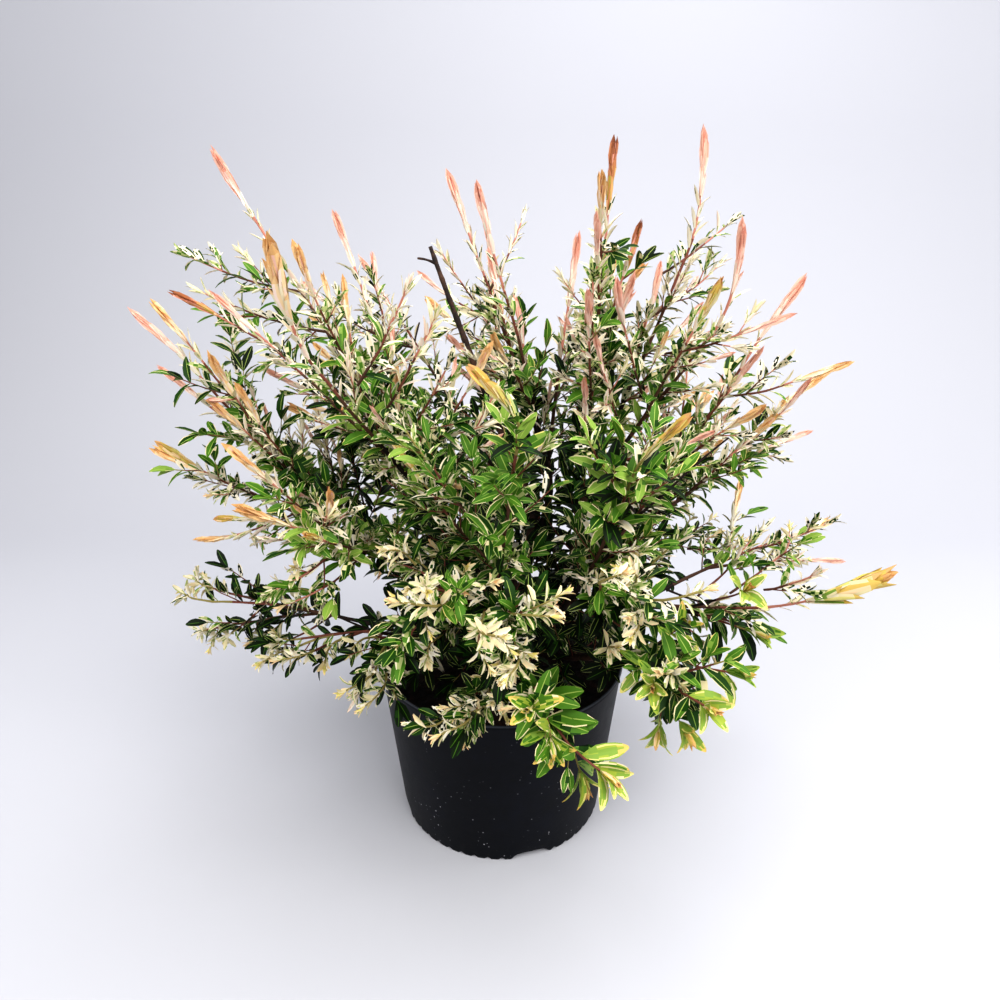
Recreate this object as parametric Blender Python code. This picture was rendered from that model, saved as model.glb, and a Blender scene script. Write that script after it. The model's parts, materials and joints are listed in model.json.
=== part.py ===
"""Dappled willow shrub in its black nursery pot, in metres, with +Z up.

The origin is the middle of the pot's flat underside. The photographed side faces -Y.
A direction on the plant is given by its bearing (degrees round from +X towards +Y) and its rise (degrees
above level), and a reach is a distance from the heart, the point in the stool where the limbs would meet.
"""
import math
import random

import bmesh
import bpy
from mathutils import Matrix, Vector
from mathutils.bvhtree import BVHTree

# Fit between neighbouring solids
GAP = 0.0003

# Faces that meet at less than this many degrees are shaded as one surface
POT_SMOOTH = 30.0
LIMB_SMOOTH = 50.0

# Pot
POT_HEIGHT = 0.196
POT_TOP_RADIUS = 0.140
POT_BASE_RADIUS = 0.1195
POT_WALL = 0.0022
POT_FLOOR = 0.0030
RIM_HEIGHT = 0.0045
RIM_PROUD = 0.0009
POT_STEPS = 72
FOOT_RADIUS = 0.108
FOOT_COUNT = 24
FOOT_ARCH = 0.0030
DRAIN_COUNT = 4
DRAIN_BEARING = -74.0
DRAIN_WIDTH = 0.044
DRAIN_ARCH = 0.0085

# Soil
SOIL_BELOW_RIM = 0.022
SOIL_RINGS = 3
SOIL_STEPS = 24
SOIL_CROWN = 0.006
SOIL_SEAT = 0.038
SOIL_LUMPS = 0.0022
SOIL_SEED = 5

# Stool, the short thick stem that all limbs grow from
HEART = Vector((0.020, 0.0, 0.220))
STOOL_FOOT = Vector((0.014, 0.004, POT_HEIGHT - SOIL_BELOW_RIM + SOIL_CROWN + GAP))
STOOL_TOP = Vector((0.022, 0.0, 0.262))
STOOL_RADIUS = 0.0150
STOOL_FLARE = 0.0055
STOOL_SIDES = 10

# Limbs: LIMB_BEND is the share of its length for which a limb follows its first heading
LIMB_SIDES = 6
LIMB_STEPS = 6
LIMB_BEND = 0.45

# Spaces of the masses, with the room that a stem, twig or leaf leaves to a wall or a limb
FORK_DEPTH = 0.0035
WALL_CLEAR = 0.0004
LIMB_CLEAR = 0.0008
CHECKED_SHARES = (0.0, 0.2, 0.4, 0.6, 0.8, 1.0)
SEAT_TURNS = 24
SEAT_SHARES = (0.35, 0.7, 1.0)

# Stem of a mass: STEM_PULL is how far its curve is drawn to its bough's heading
STEM_RADIUS = 0.0026
STEM_TIP_RADIUS = 0.0019
STEM_LEAST_RADIUS = 0.0009
STEM_STEPS = 5
STEM_PULL = 0.12
STEM_LEAFY_STEPS = 2

# Side twigs: the shares of the stem between which they stand, and their length as a share of the stem's
TWIG_SIDES = 3
TWIG_RADIUS = 0.0017
TWIG_SINK = 0.0004
TWIG_SPACING = 0.070
TWIG_FIRST = 0.08
TWIG_LAST = 0.84
TWIG_SHARE = 0.44
TWIG_TAPER = 0.61
TWIG_LONGEST = 0.125
TWIG_SHORTEST = 0.030
TWIG_BARE = 0.014
TWIG_SPREAD = 46.0
TWIG_SHARES = (1.0, 0.8, 0.6)
TWIG_CHECKED_FROM = 0.1

# Leaves: widths are shares of the length, and a short mass has smaller leaves and closer twigs
LEAF_LENGTH = 0.072
LEAF_LEAST = 0.74
LEAF_FULL_SPAN = 0.290
LEAF_VARIES = 0.08
LEAF_WIDTH = 0.41
LEAF_WIDEST = 0.48
LEAF_CHECKED_FROM = 0.12
SPEAR_WIDTH = 0.24
LEAF_ROOT = 0.0007
LEAF_SINK = 0.0020
LEAF_SPREAD = 50.0
LEAF_SPACING = 0.041
LEAF_BELOW_TIP = 0.4
LEAF_SHARES = (1.0, 0.8, 0.62)

# Each bough: the limb that it grows from, how far along that limb, its first bearing and rise, the bearing,
# rise and reach of its tip, and its radius at foot and tip.
BOUGHS = {
    "stem_middle": ("stool", 1.00, -60, 78, 20, 83, 0.150, 0.0066, 0.0054),
    "stem_cut": ("stem_middle", 1.00, 175, 66, 160, 77, 0.434, 0.0048, 0.0037),
    "bough_centre": ("stem_middle", 0.74, 30, 36, 34, 80, 0.205, 0.0040, 0.0035),
    "stem_right": ("stool", 0.68, -34, 30, -18, 69, 0.195, 0.0056, 0.0037),
    "bough_right_high": ("stool", 0.66, 32, 28, 4, 49, 0.165, 0.0054, 0.0037),
    "bough_left": ("stool", 0.68, -160, 32, -166, 62, 0.175, 0.0056, 0.0037),
    "bough_back_high": ("stool", 0.66, 98, 32, 98, 60, 0.170, 0.0054, 0.0037),
    "bough_front": ("stool", 0.52, -108, 30, -106, 42, 0.130, 0.0048, 0.0036),
    "bough_front_right": ("stool", 0.50, -62, 30, -57, 42, 0.130, 0.0046, 0.0034),
    "bough_far_left": ("stool", 0.42, 176, 22, -176, 36, 0.155, 0.0052, 0.0038),
    "bough_right": ("stool", 0.40, -4, 14, -14, 22, 0.140, 0.0050, 0.0036),
    "bough_low_left": ("stool", 0.20, -158, 14, -164, 8, 0.135, 0.0046, 0.0034),
    "bough_low_front": ("stool", 0.22, -98, 12, -92, 14, 0.120, 0.0042, 0.0032),
    "bough_low_right": ("stool", 0.20, -42, 10, -40, 10, 0.135, 0.0044, 0.0034),
    "bough_back_right": ("stool", 0.22, 42, 14, 42, 16, 0.135, 0.0046, 0.0036),
    "bough_back_left": ("stool", 0.22, 116, 16, 112, 19, 0.140, 0.0048, 0.0038),
}

# Each mass of foliage: the bough that carries it, the bearing, rise and reach of its leading tip, and how far
# the middle of its stem bows up from a straight line, as a share of the stem's length.
MASSES = {
    "foliage_left_top": ("bough_left", 176, 60, 0.590, -0.02),
    "foliage_left_near_top": ("bough_left", -133, 58, 0.510, -0.04),
    "foliage_left_tall": ("bough_left", 157, 65, 0.505, -0.03),
    "foliage_centre_left": ("bough_centre", 128, 76, 0.507, 0.0),
    "foliage_centre": ("bough_centre", -150, 84, 0.485, 0.02),
    "foliage_centre_far": ("bough_centre", 50, 78, 0.440, 0.0),
    "foliage_right_top": ("stem_right", -14, 81, 0.528, 0.0),
    "foliage_right_tall": ("stem_right", 16, 71, 0.560, -0.02),
    "foliage_right_upper": ("stem_right", -26, 66, 0.492, -0.02),
    "foliage_right_lean": ("bough_right_high", -4, 56, 0.478, -0.04),
    "foliage_right_far": ("bough_right_high", 9, 41, 0.455, -0.08),
    "foliage_left_far": ("bough_far_left", -178, 44, 0.530, -0.05),
    "foliage_left_mid": ("bough_far_left", 174, 27, 0.460, 0.0),
    "foliage_left_near": ("bough_far_left", -143, 37, 0.380, -0.01),
    "foliage_front_top": ("bough_front", -102, 56, 0.430, -0.03),
    "foliage_front_left": ("bough_front", -117, 33, 0.315, 0.03),
    "foliage_front_mid": ("bough_front", -92, 30, 0.315, 0.04),
    "foliage_right_near": ("bough_front_right", -60, 52, 0.405, -0.03),
    "foliage_front_right": ("bough_front_right", -54, 33, 0.325, 0.0),
    "foliage_right_side": ("bough_right", -20, 24, 0.380, 0.0),
    "foliage_right_mid": ("bough_right", 10, 17, 0.395, 0.03),
    "foliage_low_right": ("bough_right", -12, 6, 0.300, 0.04),
    "foliage_back_top": ("bough_back_high", 100, 64, 0.500, -0.02),
    "foliage_back_right_top": ("bough_back_high", 62, 56, 0.490, -0.03),
    "foliage_back_left_top": ("bough_back_high", 132, 54, 0.500, -0.03),
    "foliage_back_right": ("bough_back_right", 48, 29, 0.430, -0.02),
    "foliage_low_back_side": ("bough_back_right", 24, 8, 0.340, 0.06),
    "foliage_low_back_right": ("bough_back_right", 56, 2, 0.370, 0.05),
    "foliage_back": ("bough_back_left", 94, 29, 0.420, -0.02),
    "foliage_back_left": ("bough_back_left", 132, 28, 0.430, -0.02),
    "foliage_low_back": ("bough_back_left", 94, 2, 0.360, 0.05),
    "foliage_low_back_left": ("bough_back_left", 132, 1, 0.380, 0.05),
    "foliage_low_left": ("bough_low_left", 176, 6, 0.405, 0.04),
    "foliage_low_left_near": ("bough_low_left", -165, 0, 0.300, 0.08),
    "foliage_rim_left": ("bough_low_left", -138, 6, 0.250, 0.08),
    "foliage_rim_front": ("bough_low_front", -112, 6, 0.245, 0.08),
    "foliage_rim_right": ("bough_low_front", -74, 3, 0.275, 0.08),
    "foliage_low_right_near": ("bough_low_right", -55, 12, 0.290, 0.06),
    "foliage_low_right_side": ("bough_low_right", -36, 10, 0.270, 0.06),
}

# Colours and roughness: a mass is a blend of green and cream, with the more pink the higher it rises
BARK = (0.055, 0.040, 0.032, 1.0)
BARK_ROUGHNESS = 0.85
BLACK_PLASTIC = (0.012, 0.012, 0.014, 1.0)
PLASTIC_ROUGHNESS = 0.42
SOIL_BROWN = (0.030, 0.021, 0.016, 1.0)
SOIL_ROUGHNESS = 0.95
LEAF_BLEND = Vector((0.50, 0.55, 0.355))
LEAF_PINK = Vector((0.86, 0.55, 0.45))
LEAF_PINKEST = 0.6
LEAF_ROUGHNESS = 0.7


def clear_scene():
    """Remove every object that the scene opens with."""
    for thing in list(bpy.data.objects):
        bpy.data.objects.remove(thing)


def towards(bearing, rise):
    """The unit vector at a bearing and a rise."""
    across = math.radians(bearing)
    up = math.radians(rise)
    return Vector((math.cos(up) * math.cos(across), math.cos(up) * math.sin(across), math.sin(up)))


def material(name, colour, roughness):
    """A plain Principled material."""
    made = bpy.data.materials.new(name)
    made.use_nodes = True
    shader = made.node_tree.nodes["Principled BSDF"]
    shader.inputs["Base Color"].default_value = colour
    shader.inputs["Roughness"].default_value = roughness
    shader.inputs["Metallic"].default_value = 0.0
    return made


def add_object(name, shape, smooth_angle=None):
    """Make an object in the scene from a bmesh, with its faces pointing out."""
    bmesh.ops.recalc_face_normals(shape, faces=shape.faces)
    mesh = bpy.data.meshes.new(name)
    shape.to_mesh(mesh)
    shape.free()
    if smooth_angle is not None:
        mesh.shade_smooth()
        mesh.set_sharp_from_angle(angle=smooth_angle)
    made = bpy.data.objects.new(name, mesh)
    bpy.context.scene.collection.objects.link(made)
    return made


def dress(thing, colour, roughness):
    """Give an object a material of its own."""
    thing.data.materials.clear()
    thing.data.materials.append(material(thing.name, colour, roughness))


def turned(profile, steps):
    """A closed bmesh from spinning a profile, whose ends lie on the axis, once round."""
    shape = bmesh.new()
    corners = [shape.verts.new((radius, 0.0, height)) for radius, height in profile]
    edges = [shape.edges.new(pair) for pair in zip(corners, corners[1:])]
    bmesh.ops.spin(
        shape,
        geom=corners + edges,
        cent=(0, 0, 0),
        axis=(0, 0, 1),
        angle=math.tau,
        steps=steps,
        use_merge=True,
    )
    bmesh.ops.remove_doubles(shape, verts=shape.verts, dist=0.00001)
    return shape


def edge_lift(bearing):
    """How far the pot's bottom edge stands off the ground at a bearing in radians."""
    lift = max(0.0, FOOT_ARCH * math.sin(FOOT_COUNT * bearing))
    half_drain = DRAIN_WIDTH / 2 / POT_BASE_RADIUS
    for turn in range(DRAIN_COUNT):
        middle = math.radians(DRAIN_BEARING) + turn * math.tau / DRAIN_COUNT
        away = abs(math.remainder(bearing - middle, math.tau)) / half_drain
        if away < 1.0:
            lift = max(lift, DRAIN_ARCH * math.cos(away * math.pi / 2))
    return lift


def make_pot():
    """The pot: a thin tapering wall with a plain rim, and a flat base with a scalloped edge."""
    wall_slope = (POT_TOP_RADIUS - POT_BASE_RADIUS) / POT_HEIGHT
    under_rim = POT_HEIGHT - RIM_HEIGHT
    under_rim_radius = POT_BASE_RADIUS + wall_slope * under_rim
    floor_radius = POT_BASE_RADIUS + wall_slope * POT_FLOOR - POT_WALL
    shape = turned(
        [
            (0.0, 0.0),
            (FOOT_RADIUS, 0.0),
            (POT_BASE_RADIUS, 0.0),
            (under_rim_radius, under_rim),
            (under_rim_radius + RIM_PROUD, under_rim + RIM_PROUD),
            (POT_TOP_RADIUS, POT_HEIGHT),
            (POT_TOP_RADIUS - POT_WALL, POT_HEIGHT),
            (floor_radius - FOOT_ARCH, POT_FLOOR + DRAIN_ARCH),
            (FOOT_RADIUS - POT_WALL, POT_FLOOR),
            (0.0, POT_FLOOR),
        ],
        POT_STEPS,
    )
    for corner in shape.verts:
        radius = math.hypot(corner.co.x, corner.co.y)
        if corner.co.z < GAP and radius > (FOOT_RADIUS + POT_BASE_RADIUS) / 2:
            corner.co.z += edge_lift(math.atan2(corner.co.y, corner.co.x))
    pot = add_object("pot", shape, math.radians(POT_SMOOTH))
    dress(pot, BLACK_PLASTIC, PLASTIC_ROUGHNESS)


def pot_inside(height):
    """The pot's inner radius at a height, up to its rim."""
    base = POT_BASE_RADIUS - POT_WALL - FOOT_ARCH
    top = POT_TOP_RADIUS - POT_WALL
    return base + (top - base) * (height - POT_FLOOR - DRAIN_ARCH) / (POT_HEIGHT - POT_FLOOR - DRAIN_ARCH)


def make_soil():
    """The soil: it fills the pot to below the rim, with a low lumpy crown."""
    edge_height = POT_HEIGHT - SOIL_BELOW_RIM
    edge_radius = pot_inside(edge_height) - 2 * GAP
    corner_height = POT_FLOOR + DRAIN_ARCH
    profile = [(0.0, POT_FLOOR + GAP), (FOOT_RADIUS - POT_WALL - 3 * GAP, POT_FLOOR + GAP)]
    profile.append((pot_inside(corner_height) - 3 * GAP, corner_height))
    profile.append((edge_radius, edge_height))
    for ring in range(SOIL_RINGS - 1, -1, -1):
        out = ring / SOIL_RINGS
        radius = SOIL_SEAT + (edge_radius - SOIL_SEAT) * out
        profile.append((radius, edge_height + SOIL_CROWN * (1 - out * out)))
    profile.append((0.0, edge_height + SOIL_CROWN))
    shape = turned(profile, SOIL_STEPS)
    lumps = random.Random(SOIL_SEED)
    for corner in shape.verts:
        if corner.co.z > edge_height + GAP and math.hypot(corner.co.x, corner.co.y) > SOIL_SEAT + GAP:
            corner.co.z += lumps.uniform(-SOIL_LUMPS, SOIL_LUMPS)
    soil = add_object("soil", shape)
    dress(soil, SOIL_BROWN, SOIL_ROUGHNESS)


def curve_points(start, pull, end, steps):
    """Points on the curve from start to end that is drawn towards pull."""
    points = []
    for step in range(steps + 1):
        t = step / steps
        points.append((1 - t) ** 2 * start + 2 * t * (1 - t) * pull + t * t * end)
    return points


def turns_along(path, start_heading=None):
    """The untwisted turns that point +Z along a path at its points, or along start_heading at its start."""
    turns = []
    for index, point in enumerate(path):
        ahead = path[min(index + 1, len(path) - 1)]
        heading = (ahead - path[max(index - 1, 0)]).normalized()
        if index == 0:
            heading = start_heading or heading
            turns.append(heading.to_track_quat("Z", "Y"))
        else:
            before = turns[-1] @ Vector((0, 0, 1))
            turns.append(before.rotation_difference(heading) @ turns[-1])
    return turns


def face_out(turn, side):
    """The direction out of one of a three-sided twig's faces, in the frame of the twig's ring."""
    angle = side * math.tau / TWIG_SIDES - math.pi / 2
    return turn @ Vector((math.cos(angle), math.sin(angle), 0))


def sweep(path, radii, sides, start_heading=None):
    """A closed bmesh: a polygon's outline carried along a path, with a radius for each point."""
    shape = bmesh.new()
    ring = bmesh.ops.create_circle(shape, radius=1.0, segments=sides)["verts"]
    place = Matrix.Identity(4)
    for index, turn in enumerate(turns_along(path, start_heading)):
        if index:
            edges = [edge for edge in shape.edges if all(corner in ring for corner in edge.verts)]
            grown = bmesh.ops.extrude_edge_only(shape, edges=edges)
            ring = [piece for piece in grown["geom"] if isinstance(piece, bmesh.types.BMVert)]
        size = Matrix.Diagonal((radii[index], radii[index], radii[index], 1.0))
        wanted = Matrix.Translation(path[index]) @ turn.to_matrix().to_4x4() @ size
        bmesh.ops.transform(shape, matrix=wanted @ place.inverted(), verts=ring)
        place = wanted
    bmesh.ops.holes_fill(shape, edges=shape.edges)
    return shape


def apart(first, second):
    """The least distance between two straight segments, each a pair of points."""
    run_a, run_b, offset = first[1] - first[0], second[1] - second[0], first[0] - second[0]
    a, b, c = run_a.dot(run_a), run_a.dot(run_b), run_b.dot(run_b)
    d, e = run_a.dot(offset), run_b.dot(offset)
    spread = a * c - b * b
    s = 0.0 if spread < 1e-12 else min(1.0, max(0.0, (b * e - c * d) / spread))
    t = min(1.0, max(0.0, (b * s + e) / c))
    s = min(1.0, max(0.0, (b * t - d) / a))
    return (offset + s * run_a - t * run_b).length


class Limb:
    """A tapering limb along a path, with its radius at each point and the heading of its foot's cut."""

    def __init__(self, name, path, radii, sides, foot_heading=None):
        self.name, self.path, self.radii, self.sides = name, path, radii, sides
        self.foot_heading = foot_heading

    def at(self, share):
        """The point at a share of the way along."""
        place = share * (len(self.path) - 1)
        step = min(int(place), len(self.path) - 2)
        return self.path[step].lerp(self.path[step + 1], place - step)

    def heading(self):
        """The direction in which its tip points."""
        return (self.path[-1] - self.path[-2]).normalized()

    def build(self, name, extra=0.0):
        """Make its solid, thicker all over by extra, with its ends that much further out."""
        path = list(self.path)
        path[0] = path[0] - extra * (path[1] - path[0]).normalized()
        path[-1] = path[-1] + extra * self.heading()
        radii = [(radius + extra) / math.cos(math.pi / self.sides) for radius in self.radii]
        return add_object(name, sweep(path, radii, self.sides, self.foot_heading), math.radians(LIMB_SMOOTH))

    def clears(self, segment, around):
        """Whether a segment with a thickness of its own around it stays clear of the limb."""
        for index, pair in enumerate(zip(self.path, self.path[1:])):
            room = max(self.radii[index : index + 2]) / math.cos(math.pi / self.sides) + around + LIMB_CLEAR
            if apart(segment, pair) < room:
                return False
        return True


def make_stool():
    """The short stem, from its flared flat cut on the soil to where the limbs part."""
    steps = LIMB_STEPS
    path = [STOOL_FOOT.lerp(STOOL_TOP, step / steps) for step in range(steps + 1)]
    radii = [STOOL_RADIUS + STOOL_FLARE * (1 - step / steps) ** 3 for step in range(steps + 1)]
    return Limb("stool", path, radii, STOOL_SIDES, Vector((0, 0, 1)))


def make_limbs():
    """Lay out the stool and all boughs."""
    limbs = {"stool": make_stool()}
    for name, values in BOUGHS.items():
        parent, share, bearing, rise, tip_bearing, tip_rise, reach, foot_radius, tip_radius = values
        start = limbs[parent].at(share)
        foot_heading = None
        if share == 1.0:
            foot_heading = limbs[parent].heading()
            start = start + GAP * foot_heading
        tip = HEART + reach * towards(tip_bearing, tip_rise)
        pull = start + LIMB_BEND * (tip - start).length * towards(bearing, rise)
        path = curve_points(start, pull, tip, LIMB_STEPS)
        narrowing = (tip_radius - foot_radius) / LIMB_STEPS
        radii = [foot_radius + narrowing * step for step in range(LIMB_STEPS + 1)]
        limbs[name] = Limb(name, path, radii, LIMB_SIDES, foot_heading)
    return limbs


def build_limbs(limbs):
    """Make each limb's solid, and cut its foot clear of the limb that it grows from."""
    for name, limb in limbs.items():
        made = limb.build(name)
        parent, share = BOUGHS[name][:2] if name in BOUGHS else (None, 1.0)
        if share < 1.0:
            sleeve = limbs[parent].build(name + "_sleeve", GAP)
            apply_boolean(made, "DIFFERENCE", "EXACT", cutter=sleeve)
            bpy.data.objects.remove(sleeve)
        dress(made, BARK, BARK_ROUGHNESS)


def apply_boolean(thing, operation, solver, cutter=None, collection=None):
    """Apply a Boolean to an object, with one object or a whole collection."""
    change = thing.modifiers.new("join", "BOOLEAN")
    change.operation = operation
    change.solver = solver
    if collection is None:
        change.object = cutter
    else:
        change.operand_type = "COLLECTION"
        change.collection = collection
    bpy.context.view_layer.update()
    seen = thing.evaluated_get(bpy.context.evaluated_depsgraph_get())
    result = bpy.data.meshes.new_from_object(seen)
    thing.modifiers.clear()
    thing.data = result


def wall_between(corner, own, other):
    """The plane through corner that parts the directions nearer to own from those nearer to other."""
    return corner, (own.normalized() - other.normalized()).normalized()


def lay_out_spaces(limbs):
    """Share out the crown among the boughs, and each bough's part among its masses: a space for each."""
    tips = {name: HEART + values[3] * towards(*values[1:3]) for name, values in MASSES.items()}
    carried = {}
    for name, values in MASSES.items():
        carried.setdefault(values[0], []).append(name)
    heading = {
        bough: sum(((tips[name] - HEART).normalized() for name in names), Vector()).normalized()
        for bough, names in carried.items()
    }
    spaces = {}
    for name, values in MASSES.items():
        bough = values[0]
        fork = limbs[bough].path[-1] - FORK_DEPTH * limbs[bough].heading()
        walls = [wall_between(HEART, heading[bough], heading[other]) for other in carried if other != bough]
        for other in carried[bough]:
            if other != name:
                walls.append(wall_between(fork, tips[name] - fork, tips[other] - fork))
        spaces[name] = walls
    return tips, spaces


def depth_in(point, walls):
    """How deep a point lies in a space, and negative outside it."""
    return min((point - corner).dot(inward) for corner, inward in walls)


def in_pot(point):
    """Whether a point lies in or on the pot, or between it and the soil."""
    below_rim = point.z < POT_HEIGHT + 2 * LIMB_CLEAR
    return below_rim and math.hypot(point.x, point.y) < POT_TOP_RADIUS + 2 * LIMB_CLEAR


class Mass:
    """One mass of foliage: a stem with side twigs and leaves, grown by a seeded rule inside its own space."""

    def __init__(self, name, limbs, tip, walls, seed):
        self.name, self.limbs, self.walls = name, limbs, walls
        self.chance = random.Random(seed)
        self.solids = []
        self.surfaces = []
        self.leaf_count = 0
        self.twig_index = 0
        self.grow(limbs[MASSES[name][0]], tip, MASSES[name][4])

    def seat(self, bough):
        """The point on the bough's end face that lies deepest in this mass's space, and its depth."""
        heading = bough.heading()
        face = bough.path[-1] + GAP * heading
        side = heading.orthogonal().normalized()
        room = bough.radii[-1] - STEM_LEAST_RADIUS
        best = (depth_in(face, self.walls), face)
        for turn in range(SEAT_TURNS):
            out = Matrix.Rotation(turn * math.tau / SEAT_TURNS, 3, heading) @ side
            for share in SEAT_SHARES:
                point = face + share * room * out
                best = max(best, (depth_in(point, self.walls), point), key=lambda entry: entry[0])
        return best[1]

    def fits(self, segment, around, limbs):
        """Whether a segment with a thickness around it keeps to the space, off the pot and off the limbs."""
        for share in CHECKED_SHARES:
            point = segment[0].lerp(segment[1], share)
            if depth_in(point, self.walls) < around + WALL_CLEAR or in_pot(point):
                return False
        return all(limb.clears(segment, around) for limb in limbs)

    def add_solid(self, shape):
        """Keep a solid for the mass, and its surface for the test that later ones don't cut it."""
        self.solids.append(shape)
        self.surfaces.append(BVHTree.FromBMesh(shape))

    def cuts(self, shape, own):
        """Whether a shape would cut any solid kept so far but its own twig."""
        surface = BVHTree.FromBMesh(shape)
        return any(surface.overlap(other) for index, other in enumerate(self.surfaces) if index != own)

    def add_leaf(self, root, direction, face_up, length, width, own):
        """Keep a leaf on the twig that is number own, if it fits: a pointed blade with a thick root."""
        side = direction.cross(face_up).normalized()
        up = side.cross(direction).normalized()
        half = width * length / 2
        widest = root + LEAF_WIDEST * length * direction
        tip = root + length * direction
        edges = [(root.lerp(tip, LEAF_CHECKED_FROM), tip), (widest - half * side, widest + half * side)]
        if not all(self.fits(edge, 2 * GAP, list(self.limbs.values())) for edge in edges):
            return False
        shape = bmesh.new()
        corners = [tip, root + LEAF_ROOT * up, root - LEAF_ROOT * up, *edges[1]]
        bmesh.ops.convex_hull(shape, input=[shape.verts.new(corner) for corner in corners])
        if self.cuts(shape, own):
            return False
        self.add_solid(shape)
        self.leaf_count += 1
        return True

    def clothe(self, path, index, first, length):
        """Put a leaf on the newest twig's tip, and leaves out of its faces in turn, back to its bare foot."""
        own = self.twig_index
        heading = (path[-1] - path[-2]).normalized()
        self.add_leaf(path[-1] - LEAF_SINK * heading, heading, heading.orthogonal(), length, SPEAR_WIDTH, own)
        spacing = LEAF_SPACING * length / LEAF_LENGTH
        turns = turns_along(path)
        side = self.chance.randrange(TWIG_SIDES)
        for step in range(len(path) - 1, index, -1):
            foot, tip = path[step - 1], path[step]
            place = (tip - foot).length - LEAF_BELOW_TIP * spacing
            while place > (first if step == index + 1 else 0.0):
                root = foot.lerp(tip, place / (tip - foot).length)
                size = length * self.chance.uniform(1 - LEAF_VARIES, 1 + LEAF_VARIES)
                self.side_leaf(root, (tip - foot).normalized(), turns[step], side, size, own)
                side += 1
                place -= spacing

    def side_leaf(self, root, heading, turn, side, length, own):
        """Put a leaf out of a face of a twig, or of the next face or smaller where it doesn't fit."""
        lean = math.radians(LEAF_SPREAD)
        for share in LEAF_SHARES:
            for turned_on in range(TWIG_SIDES):
                out = face_out(turn, side + turned_on)
                direction = (math.cos(lean) * heading + math.sin(lean) * out).normalized()
                if self.add_leaf(root, direction, heading, share * length, LEAF_WIDTH, own):
                    return

    def grow(self, bough, tip, bow):
        """Grow the stem from the bough's tip to the leading tip, then its twigs, and then all leaves."""
        start = self.seat(bough)
        span = (tip - start).length
        leaf = LEAF_LENGTH * min(1.0, max(LEAF_LEAST, span / LEAF_FULL_SPAN))
        ends_at = tip - (leaf - LEAF_SINK) * (tip - start).normalized()
        middle = start.lerp(ends_at, 0.5) + 2 * bow * span * Vector((0, 0, 1))
        pull = middle.lerp(start + span / 2 * bough.heading(), STEM_PULL)
        stem = curve_points(start, pull, ends_at, STEM_STEPS)
        least = max(STEM_LEAST_RADIUS, min(STEM_RADIUS, depth_in(start, self.walls) - GAP))
        narrowing = (STEM_TIP_RADIUS - STEM_RADIUS) / STEM_STEPS
        radii = [least] + [STEM_RADIUS + narrowing * step for step in range(1, STEM_STEPS + 1)]
        self.add_solid(sweep(stem, radii, TWIG_SIDES, bough.heading()))
        others = [limb for limb in self.limbs.values() if limb is not bough]
        count = max(2, round(span / (TWIG_SPACING * leaf / LEAF_LENGTH)))
        side = self.chance.randrange(TWIG_SIDES)
        twigs = []
        for index in range(count):
            share = TWIG_FIRST + (TWIG_LAST - TWIG_FIRST) * (index + 0.5) / count
            twig = self.side_twig(stem, share, side, span, others)
            if twig is not None:
                twigs.append(twig)
            side = (side + 1) % TWIG_SIDES
        self.clothe(stem, STEM_STEPS - STEM_LEAFY_STEPS, 0.0, leaf)
        for twig in twigs:
            self.twig_index += 1
            self.clothe(twig, 0, TWIG_BARE, leaf * self.chance.uniform(1 - 2 * LEAF_VARIES, 1.0))

    def side_twig(self, stem, share, side, span, others):
        """Grow a side twig out of a face of the stem, or of the next face or shorter where it doesn't fit."""
        place = share * STEM_STEPS
        step = int(place)
        root = stem[step].lerp(stem[step + 1], place - step)
        heading = (stem[step + 1] - stem[step]).normalized()
        turn = turns_along(stem)[step]
        wanted = min(TWIG_LONGEST, TWIG_SHARE * span * (1 - TWIG_TAPER * share))
        spread = math.radians(TWIG_SPREAD)
        for attempt in range(len(TWIG_SHARES) * TWIG_SIDES):
            out = face_out(turn, side + attempt)
            direction = (math.cos(spread) * heading + math.sin(spread) * out).normalized()
            length = wanted * TWIG_SHARES[attempt // TWIG_SIDES]
            twig = [root - TWIG_SINK * direction, root + length * direction]
            checked = (root.lerp(twig[1], TWIG_CHECKED_FROM), twig[1])
            if length > TWIG_SHORTEST and self.fits(checked, TWIG_RADIUS, others):
                shape = sweep(twig, [TWIG_RADIUS, TWIG_RADIUS], TWIG_SIDES)
                if not self.cuts(shape, 0):
                    self.add_solid(shape)
                    return twig
        return None

    def colour(self):
        """A colour for the mass, pinker the higher its leading tip rises."""
        rise = max(0.0, MASSES[self.name][2]) / 90.0
        return (*LEAF_BLEND.lerp(LEAF_PINK, LEAF_PINKEST * rise), 1.0)

    def build(self):
        """Join the stem, twigs and leaves in one solid."""
        group = bpy.data.collections.new(self.name + "_pieces")
        bpy.context.scene.collection.children.link(group)
        made = add_object(self.name, self.solids[0])
        for index, shape in enumerate(self.solids[1:]):
            piece = add_object(f"{self.name}_piece_{index}", shape)
            bpy.context.scene.collection.objects.unlink(piece)
            group.objects.link(piece)
        apply_boolean(made, "UNION", "EXACT", collection=group)
        for piece in list(group.objects):
            bpy.data.objects.remove(piece)
        bpy.data.collections.remove(group)
        dress(made, self.colour(), LEAF_ROUGHNESS)


def main():
    """Build the pot, the soil, the limbs and the foliage."""
    clear_scene()
    make_pot()
    make_soil()
    limbs = make_limbs()
    build_limbs(limbs)
    tips, spaces = lay_out_spaces(limbs)
    for seed, name in enumerate(MASSES):
        Mass(name, limbs, tips[name], spaces[name], seed).build()


main()
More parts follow.
